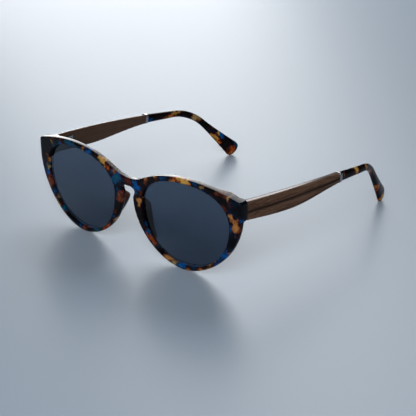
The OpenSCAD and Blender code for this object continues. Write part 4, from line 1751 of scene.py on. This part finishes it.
@dataclass
class Temple:
    """A wooden temple with its collar and acetate tip.

    Attributes:
        side: the wearer's side.
        edges_r: radii of the wood's long edges: outer top, inner top, inner bottom, outer bottom.
        outward_fall: how far the upper face falls towards the outside.
        curve_steps: points to each curve of the wood's edges.
        butt_round: rounding of the wood's butt face: distance behind it, and how far the wood draws in.
        wood_from, wood_past: where its even rings start, and how far they go past its end into the collar.
        wood_rings, corner: number of even rings, and points round one of its long edges.
        inner_zone: where its inner face fades into its edges: short of half the thickness, and a lead.
        rim_round: rounding of a collar's rims: distance from the end, and how far the collar draws in.
        collar_sides, collar_power: points round the collar, and its squareness.
        tip_sides, tip_rings, tip_in: points round the tip, rings along it, and its depth in the collar.
        tip_cap: angles of the rings over the tip's round end, in degrees.
        probe: distance to either side over which the tip's direction is taken.
    """

    side: Side
    wardrobe: Wardrobe
    front: FrontSizes = field(default_factory=FrontSizes)
    sizes: TempleSizes = field(default_factory=TempleSizes)
    edges_r: tuple[float, ...] = (2.2, 0.5, 0.7, 0.9)
    outward_fall: float = 0.15
    curve_steps: int = 80
    butt_round: tuple[Point2, ...] = ((0.0, 0.22), (0.07, 0.08), (0.2, 0.0))
    wood_from: float = 1.2
    wood_past: float = 0.8
    wood_rings: int = 90
    corner: int = 6
    inner_zone: Point2 = (0.25, 0.1)
    rim_round: tuple[Point2, ...] = ((0.0, 0.32), (0.05, 0.14), (0.16, 0.03), (0.3, 0.0))
    collar_sides: int = 48
    collar_power: float = 4
    tip_sides: int = 36
    tip_rings: int = 110
    tip_in: float = 0.6
    tip_cap: tuple[float, ...] = (8, 18, 28, 38, 48, 58, 68, 77, 84)
    probe: float = 0.05

    def __post_init__(self) -> None:
        """Works out the places along the temple."""
        s, f = self.sizes, self.front
        self.axis = s.bow_axis(f)
        self.top = f.end_top - s.step
        self.bottom = self.top - s.wood_h
        self.ring_z = self.top - s.wood_h / 2 - s.drop
        self.ring_turn = math.asin((s.wood_len - s.bow_mid) / s.bow_r)
        self.ring_x = float(self.wood_x(s.wood_len, s.bow_r - s.wood_t / 2))
        slope = math.radians(s.slope)
        across, down = math.cos(slope), math.sin(slope)
        self.ring_dir = unit(np.array([-math.tan(self.ring_turn) * across, across, -down]))
        self.start = np.array([self.ring_x, s.wood_len, self.ring_z]) + s.ring_len * self.ring_dir
        tail = math.radians(s.slope + s.bend)
        self.bend_len = s.bend_r * math.radians(s.bend)
        self.bend_at = np.array([self.start[1] + s.run * across, self.start[2] - s.run * down])
        self.tail_at = self.bend_at + s.bend_r * np.array(
            [math.sin(tail) - down, math.cos(tail) - across]
        )
        wrap = math.radians(s.wrap)
        tail_dir = unit(np.array([-math.tan(wrap) * math.cos(tail), math.cos(tail), -math.sin(tail)]))
        level = unit(np.array([tail_dir[1], -tail_dir[0], 0]))
        dual = s.cap_power / (s.cap_power - 1)
        lift = (s.end_h / 2 * np.cross(level, tail_dir)[2]) ** dual + (s.cap * math.sin(tail)) ** dual
        self.tail_len = (self.tail_at[1] - lift ** (1 / dual)) / math.sin(tail)
        self.flare_from = s.run + self.bend_len
        self.cap_from = self.flare_from + self.tail_len
        self.tail_slope, self.slope, self.wrap = tail, slope, wrap

    def build(self) -> None:
        """Makes the temple's three visible pieces."""
        self.wood()
        self.collar()
        self.tip()

    def wood_x(self, y: np.ndarray, radius: float) -> np.ndarray:
        """X of a face of the wood at y."""
        return self.axis[0] + np.sqrt(radius**2 - np.square(np.asarray(y) - self.axis[1]))

    def dress(self, piece: bpy.types.Object, slot: str, finish: bpy.types.Material, node: str) -> None:
        """Gives a piece its finish, this temple's body and the node that it replaces."""
        settle(piece, Body.TEMPLE.of(self.side), slot, finish, self.side.node(node))

    def edges(self, y: np.ndarray) -> tuple[np.ndarray, np.ndarray]:
        """The wood's upper and lower edge.

        Args:
            y: places along it.

        Returns:
            Z of the upper and of the lower edge there.
        """
        s = self.sizes
        ring_top, ring_low = self.ring_z + s.tip_h / 2, self.ring_z - s.tip_h / 2
        belly_y, belly_z = s.wood_len / 2, self.bottom - s.belly
        fall_in, fall_out = (share * (self.top - ring_top) for share in s.upper_shares)
        jaw_in, jaw_out, jaw_fall = s.jaw_shares
        rise_in, rise_out = (share * s.wood_len for share in s.rise_shares)
        upper = cubic(
            (s.butt_gap, self.top),
            (s.wood_len / 3, self.top - fall_in),
            (s.wood_len * 2 / 3, self.top - fall_out),
            (s.wood_len, ring_top),
            self.curve_steps,
        )
        jaw = cubic(
            (s.butt_gap, self.bottom),
            (jaw_in * s.wood_len, self.bottom - jaw_fall * s.belly),
            (jaw_out * s.wood_len, belly_z),
            (belly_y, belly_z),
            self.curve_steps,
        )
        rise = cubic(
            (belly_y, belly_z),
            (rise_in, belly_z),
            (rise_out, ring_low),
            (s.wood_len, ring_low),
            self.curve_steps,
        )
        upper = np.vstack([upper, [[s.wood_len, ring_top]]])
        lower = np.vstack([jaw, rise, [[s.wood_len, ring_low]]])
        past = np.maximum(0, y - s.wood_len) * math.tan(self.slope)
        return np.interp(y, *upper.T) - past, np.interp(y, *lower.T) - past

    def wood(self) -> None:
        """The wooden part: a rounded bar that follows the bow."""
        s = self.sizes
        behind, draw = np.array(self.butt_round).T
        even = np.linspace(self.wood_from, s.wood_len + self.wood_past, self.wood_rings)
        stations = np.concatenate([s.butt_gap + behind, even])
        shrink = np.concatenate([draw, np.zeros(self.wood_rings)])
        high, low = self.edges(stations)
        angles = np.radians(np.linspace(0, 90, self.corner))
        short, lead = self.inner_zone
        rings, face = [], []
        for y, top, bottom, less in zip(stations, high, low, shrink):
            x_out = float(self.wood_x(y, s.bow_r)) - less
            x_in = float(self.wood_x(y, s.bow_r - s.wood_t)) + less
            top, bottom = top - less, bottom + less
            corners = (
                (x_out, top - self.outward_fall, -1, -1),
                (x_in, top, 1, -1),
                (x_in, bottom, 1, 1),
                (x_out, bottom, -1, 1),
            )
            ring = []
            for k, ((x, z, right, up), r) in enumerate(zip(corners, self.edges_r)):
                a = angles + math.radians(90 * k)
                ring += [(x + right * r + r * math.cos(v), y, z + up * r + r * math.sin(v)) for v in a]
            rings.append(np.array(ring))
            mid = (x_in + x_out) / 2
            face += [float(np.clip((mid - p[0]) / (s.wood_t / 2 - short) + lead, 0, 1)) for p in ring]
        polish = np.zeros((len(rings), len(rings[0])), np.float32)
        polish[:, self.corner // 2 : self.corner] = 1
        piece = loft("wooden_temple", rings, self.side)
        for label, values in (("inner_face", np.array(face, np.float32)), ("polished_edge", polish.ravel())):
            piece.data.attributes.new(label, "FLOAT", "POINT").data.foreach_set("value", values)
        piece.data.set_sharp_from_angle(angle=math.radians(SHARP_WOOD))
        self.dress(piece, "walnut", self.wardrobe.wood, "wood_temple")

    def ring_frame(self) -> Matrix:
        """Frame of the collar: Y along it, origin on the wood's end.

        Returns:
            The frame, in millimetres from the butt face.
        """
        s = self.sizes
        y = Vector(self.ring_dir)
        x = Vector((y.y, -y.x, 0)).normalized()
        z = x.cross(y)
        place = Vector((self.ring_x, s.wood_len, self.ring_z))
        return Matrix.Translation(place) @ Matrix((x, y, z)).transposed().to_4x4()

    def collar(self) -> None:
        """The polished collar, with rounded rims."""
        s = self.sizes
        half = np.array([s.wood_t / 2, s.tip_h / 2]) + s.ring_proud
        far = [(s.ring_len - y, less) for y, less in self.rim_round[::-1]]
        m = np.array(self.ring_frame())
        rings = []
        for y, less in [*self.rim_round, *far]:
            ring = superellipse((0, 0), half - less, self.collar_power, 0, 360, self.collar_sides)
            along = np.full(self.collar_sides, y)
            rings.append(np.stack([ring[:, 0], along, ring[:, 1]], 1) @ m[:3, :3].T + m[:3, 3])
        self.dress(loft("collar", rings, self.side), "polished_steel", self.wardrobe.polished, "joint_ring")

    def tip_point(self, run: float) -> np.ndarray:
        """The tip's centre line.

        Args:
            run: length behind the collar.

        Returns:
            The place there.
        """
        s = self.sizes
        if run < s.run:
            y = self.start[1] + run * math.cos(self.slope)
            z = self.start[2] - run * math.sin(self.slope)
        elif run < self.flare_from:
            a = self.slope + (run - s.run) / s.bend_r
            y = self.bend_at[0] + s.bend_r * (math.sin(a) - math.sin(self.slope))
            z = self.bend_at[1] - s.bend_r * (math.cos(self.slope) - math.cos(a))
        else:
            past = run - self.flare_from
            y = self.tail_at[0] + past * math.cos(self.tail_slope)
            z = self.tail_at[1] - past * math.sin(self.tail_slope)
        turn = self.ring_turn
        wrap_y = s.wood_len + s.wrap_from
        wrap_end = wrap_y + s.wrap_r * (math.sin(self.wrap) - math.sin(turn))
        if y < wrap_y:
            inset = (y - s.wood_len) * math.tan(turn)
        elif y < wrap_end:
            bent = math.asin(math.sin(turn) + (y - wrap_y) / s.wrap_r)
            inset = s.wrap_from * math.tan(turn) + s.wrap_r * (math.cos(turn) - math.cos(bent))
        else:
            inset = s.wrap_from * math.tan(turn) + s.wrap_r * (math.cos(turn) - math.cos(self.wrap))
            inset += (y - wrap_end) * math.tan(self.wrap)
        return np.array([self.ring_x - inset, y, z])

    def tip_half(self, run: float) -> tuple[float, float]:
        """The tip's section.

        Args:
            run: length behind the collar.

        Returns:
            Half its thickness and half its height there.
        """
        s = self.sizes
        if run < s.run:
            t = max(0.0, run) / s.run
            return (s.wood_t + (s.neck_t - s.wood_t) * t) / 2, (s.tip_h + (s.neck - s.tip_h) * t) / 2
        t = max(0.0, run - self.flare_from) / self.tail_len
        return (s.neck_t + (s.end_t - s.neck_t) * t) / 2, (s.neck + (s.end_h - s.neck) * t**s.flare_power) / 2

    def tip(self) -> None:
        """The acetate tip: run, bend over the ear and flared tail with a rounded end."""
        s = self.sizes
        lengths = np.linspace(-self.tip_in, self.cap_from, self.tip_rings)
        stations = [(run, *self.tip_half(run)) for run in lengths]
        for a in np.radians(self.tip_cap):
            along, across = math.sin(a) ** (2 / s.cap_power), math.cos(a) ** (2 / s.cap_power)
            stations.append((self.cap_from + s.cap * along, s.end_t / 2 * across, s.end_h / 2 * across))
        rings = []
        for run, half_t, half_h in stations:
            along = unit(self.tip_point(run + self.probe) - self.tip_point(run - self.probe))
            level = unit(np.array([along[1], -along[0], 0]))
            up = np.cross(level, along)
            half = (half_t - s.shy, half_h - s.shy)
            ring = superellipse((0, 0), half, s.section_power, 0, 360, self.tip_sides)
            rings.append(self.tip_point(run) + ring[:, :1] * level + ring[:, 1:] * up)
        self.dress(loft("acetate_tip", rings, self.side), "tip_acetate", self.wardrobe.tip, "temple_tip")


@dataclass(frozen=True)
class HingeSizes:
    """Driving sizes of a sprung hinge, as the solids have them."""

    screw_d: float = 1.4
    head_d: float = 2.2
    head_h: float = 0.6
    slot_w: float = 0.36
    slot_deep: float = 0.3
    slot_turn: float = 25.0
    box_gap: float = 1.9
    box_len: float = 6.2
    box_side: float = 1.2
    box_wall: float = 0.5
    flange_len: float = 5.2
    flange_t: float = 1.2
    seat_depth: float = 0.4
    bore_d: float = 2.8
    stop_len: float = 1.0
    spring_r: float = 1.05
    spring_wire: float = 0.35
    spring_len: float = 3.6
    spring_turns: float = 4.0
    travel: float = 1.2
    wood_screw_d: float = 1.0
    wood_head_d: float = 1.9
    wood_head_h: float = 0.5
    wood_screw_in: float = 2.2
    wood_screw_pitch: float = 2.6


@dataclass
class Hinges:
    """The metal parts of both sprung hinges.

    Attributes:
        sizes, temple, front: driving sizes.
        bevel: width of the broken edges.
    """

    wardrobe: Wardrobe
    turnery: Turnery
    sizes: HingeSizes = field(default_factory=HingeSizes)
    temple: TempleSizes = field(default_factory=TempleSizes)
    front: FrontSizes = field(default_factory=FrontSizes)
    bevel: float = 0.14

    def __post_init__(self) -> None:
        """Works out the left hinge's axis, and the spring box's turn and seat."""
        s, t = self.sizes, self.temple
        low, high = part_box("hinge_screw_left")
        self.axis = (low + high) / 2 / MM
        self.screw_z = (low.z / MM, high.z / MM)
        bow = t.bow_axis(self.front)
        axis_y = self.axis.y + ORIGIN_Y
        self.flange_y = s.box_gap + s.box_len
        self.box_turn = math.asin((t.bow_mid - axis_y - (self.flange_y + s.flange_len) / 2) / t.bow_r)
        seat = t.bow_r - t.wood_t - (self.axis.x - bow[0]) * math.cos(self.box_turn)
        self.box_out = seat + (axis_y - bow[1]) * math.sin(self.box_turn) + s.seat_depth
        self.flange_in = self.box_out - s.flange_t
        self.hinge_z = self.front.hinge_z

    def build(self) -> None:
        """Makes the parts that show, and gives the hidden ones their finish."""
        self.pins()
        for side in Side:
            self.metalwork(side)
            self.flange_screws(side)
            self.spring(side)

    def at_box(self, side: Side, x: float, y: float) -> Vector:
        """A place in the spring box's frame.

        Args:
            side: the wearer's side.
            x, y: millimetres outwards from the hinge axis and backwards along the box.

        Returns:
            The place in the row frame, in metres.
        """
        c, d = math.cos(self.box_turn), math.sin(self.box_turn)
        out, back = self.axis.x + c * x + d * y, self.axis.y - d * x + c * y
        return Vector((side.value * out, back, self.hinge_z)) * MM

    def screw(self, head: Point2, shank: Point2, finish: bpy.types.Material) -> dict[str, object]:
        """The inputs that grow a slotted screw.

        Args:
            head, shank: diameter and length of each.
            finish: its material.

        Returns:
            The values by input.
        """
        s = self.sizes
        return {
            "Head Radius": head[0] / 2 * MM,
            "Head Height": head[1] * MM,
            "Shank Radius": shank[0] / 2 * MM,
            "Shank Length": shank[1] * MM,
            "Slot Width": s.slot_w * MM,
            "Slot Depth": s.slot_deep * MM,
            "Slot Turn": math.radians(s.slot_turn),
            "Finish": finish,
        }

    def pins(self) -> None:
        """The two hinge screws, heads up."""
        s = self.sizes
        seat_z = self.screw_z[1] - s.head_h
        seats = [Vector((side.value * self.axis.x, self.axis.y, seat_z)) * MM for side in Side]
        head, shank = (s.head_d, s.head_h), (s.screw_d, seat_z - self.screw_z[0])
        inputs = self.screw(head, shank, self.wardrobe.polished)
        piece = self.turnery.grow("hinge_screws", self.turnery.screws, seats, inputs)
        finish = self.wardrobe.polished
        settle(piece, "front", "polished_steel", finish, "hinge_screw_left", "hinge_screw_right")

    def metalwork(self, side: Side) -> None:
        """Plate, slider and spring box with broken edges, and the parts inside the box and the tip.

        Args:
            side: the wearer's side.
        """
        w = self.wardrobe
        for node, name, body, slot, finish in (
            ("front_hinge", "barrel_plate", "front", "plain_steel", w.plain),
            ("hinge_slider", "barrel_slider", Body.SLIDER.of(side), "polished_steel", w.polished),
            ("hinge_housing", "spring_box", Body.TEMPLE.of(side), "polished_steel", w.polished),
        ):
            piece = bevelled_copy(side.node(node), side.node(name), self.bevel)
            settle(piece, body, slot, finish, side.node(node))
        for node in ("slider_nut", "spring_stop", "core_wire"):
            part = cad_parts[side.node(node)]
            part.data.materials.clear()
            part.data.materials.append(w.plain)

    def flange_screws(self, side: Side) -> None:
        """The two screws that hold the spring box's flange to the wood.

        Args:
            side: the wearer's side.
        """
        s = self.sizes
        middle = self.flange_y + s.flange_len / 2
        rows = (middle - s.wood_screw_pitch / 2, middle + s.wood_screw_pitch / 2)
        head, shank = (s.wood_head_d, s.wood_head_h), (s.wood_screw_d, s.flange_t + s.wood_screw_in)
        inputs = {
            "Turn": [0.0, -side.value * math.pi / 2, -side.value * self.box_turn],
            **self.screw(head, shank, self.wardrobe.plain),
        }
        seats = [self.at_box(side, self.flange_in, y) for y in rows]
        piece = self.turnery.grow(side.node("flange_screws"), self.turnery.screws, seats, inputs)
        settle(piece, Body.TEMPLE.of(side), "plain_steel", self.wardrobe.plain, side.node("housing_screws"))

    def spring(self, side: Side) -> None:
        """The spring round the slider's shaft, as one fixed mesh; the real one shortens as the temple springs
        outwards.

        Args:
            side: the wearer's side.
        """
        s = self.sizes
        shaft_x = s.bore_d / 2 + s.box_wall - s.box_side
        foot = s.box_gap + s.stop_len
        piece = self.turnery.grow(
            side.node("coil_spring"),
            self.turnery.spring,
            [self.at_box(side, shaft_x, foot + s.spring_wire / 2)],
            {
                "Turn": [-math.pi / 2, 0.0, -side.value * self.box_turn],
                "Radius": s.spring_r * MM,
                "Wire Radius": s.spring_wire / 2 * MM,
                "Length": (s.spring_len - s.spring_wire) * MM,
                "Turns": s.spring_turns,
                "Finish": self.wardrobe.plain,
            },
        )
        settle(piece, Body.TEMPLE.of(side), "plain_steel", self.wardrobe.plain, side.node("hinge_spring"))
        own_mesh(piece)


# The camera was solved about a point this far ahead of the butt face, in millimetres
SOLVED_AHEAD = 4.6


@dataclass(frozen=True)
class Softbox:
    """A rectangular lamp that faces the origin.

    Attributes:
        name: its name.
        place: its middle, in metres.
        along: direction of its length.
        size: length and width, in metres.
        watts: its power.
    """

    name: str
    place: Point3
    along: Point3
    size: Point2
    watts: float

    def build(self) -> None:
        """Puts the lamp up."""
        data = bpy.data.lights.new(self.name, "AREA")
        data.shape = "RECTANGLE"
        data.size, data.size_y = self.size
        data.energy = self.watts
        lamp = bpy.data.objects.new(self.name, data)
        back = Vector(self.place).normalized()
        across = back.cross(Vector(self.along)).normalized()
        turned = Matrix((across.cross(back), across, back)).transposed().to_4x4()
        lamp.matrix_world = Matrix.Translation(self.place) @ turned
        bpy.context.scene.collection.objects.link(lamp)


@dataclass
class Studio:
    """Floor, light and camera.

    Attributes:
        focal_px: focal length in pixels of the photograph's frame.
        azimuth, elevation, roll: the photograph's viewing angle, in degrees.
        camera_at: the camera's place in the row frame, in metres.
        sensor, clip: its sensor's width in millimetres, and the nearest and farthest that it sees, in metres.
        floor_half: half the floor's width, in metres.
        floor_colour, floor_rough, floor_gloss: the floor's finish.
        surround, surround_light: colour and strength of the light from all round.
        lamps: the lamps.
    """

    focal_px: float = 1296.5
    azimuth: float = 43.261
    elevation: float = 22.502
    roll: float = -0.551
    camera_at: Point3 = (0.44197, -0.41594 - (ORIGIN_Y + SOLVED_AHEAD) * MM, 0.2721)
    sensor: float = 36.0
    clip: Point2 = (0.01, 20.0)
    floor_half: float = 6.0
    floor_colour: Colour = srgb(174, 190, 207)
    floor_rough: float = 0.36
    floor_gloss: float = 0.2
    surround: Colour = (0.9, 0.95, 1.0)
    surround_light: float = 0.06
    lamps: tuple[Softbox, ...] = (
        Softbox("back strip", (-0.84, 1.02, 0.7), (0.643, 0, 0.766), (1.9, 0.55), 15.5),
        Softbox("front softbox", (0.75, -1.15, 0.95), (1, 0.65, 0), (1.0, 1.0), 15.5),
    )

    def build(self) -> None:
        """Sets up the whole studio."""
        self.camera()
        self.floor()
        self.lights()
        bpy.context.scene.view_settings.view_transform = "Standard"

    def camera(self) -> None:
        """The camera at the photograph's angle."""
        data = bpy.data.cameras.new("camera")
        data.sensor_width = self.sensor
        data.lens = self.focal_px * self.sensor / PHOTO_PX
        data.clip_start, data.clip_end = self.clip
        a, e, r = (math.radians(v) for v in (self.azimuth, self.elevation, self.roll))
        back = Vector((math.sin(a) * math.cos(e), -math.cos(a) * math.cos(e), math.sin(e)))
        right = Vector((math.cos(a), math.sin(a), 0))
        up = back.cross(right)
        turned = (math.cos(r) * right + math.sin(r) * up, -math.sin(r) * right + math.cos(r) * up, back)
        camera = bpy.data.objects.new("camera", data)
        camera.matrix_world = Matrix.Translation(self.camera_at) @ Matrix(turned).transposed().to_4x4()
        bpy.context.scene.collection.objects.link(camera)
        bpy.context.scene.camera = camera

    def floor(self) -> None:
        """A plain pale floor."""
        half = self.floor_half
        corners = [(-half, -half, 0), (half, -half, 0), (half, half, 0), (-half, half, 0)]
        mesh = bpy.data.meshes.new("floor")
        mesh.from_pydata(corners, [], [(0, 1, 2, 3)])
        floor = link("floor", mesh)
        material = bpy.data.materials.new("pale floor")
        material.use_nodes = True
        shader = material.node_tree.nodes["Principled BSDF"]
        shader.inputs["Base Color"].default_value = rgba(self.floor_colour)
        shader.inputs["Roughness"].default_value = self.floor_rough
        shader.inputs["Specular IOR Level"].default_value = self.floor_gloss
        mesh.materials.append(material)

    def lights(self) -> None:
        """A long soft light behind, one in front, and a dim surround."""
        for lamp in self.lamps:
            lamp.build()
        world = bpy.data.worlds.new("studio")
        world.use_nodes = True
        background = world.node_tree.nodes["Background"]
        background.inputs["Color"].default_value = rgba(self.surround)
        background.inputs["Strength"].default_value = self.surround_light
        bpy.context.scene.world = world


def main() -> None:
    """Builds the studio and dresses every sub-assembly."""
    Studio().build()
    wardrobe = Wardrobe()
    Front(wardrobe).build()
    for side in Side:
        Temple(side, wardrobe).build()
    Hinges(wardrobe, Turnery()).build()


if __name__ == "__main__":
    main()
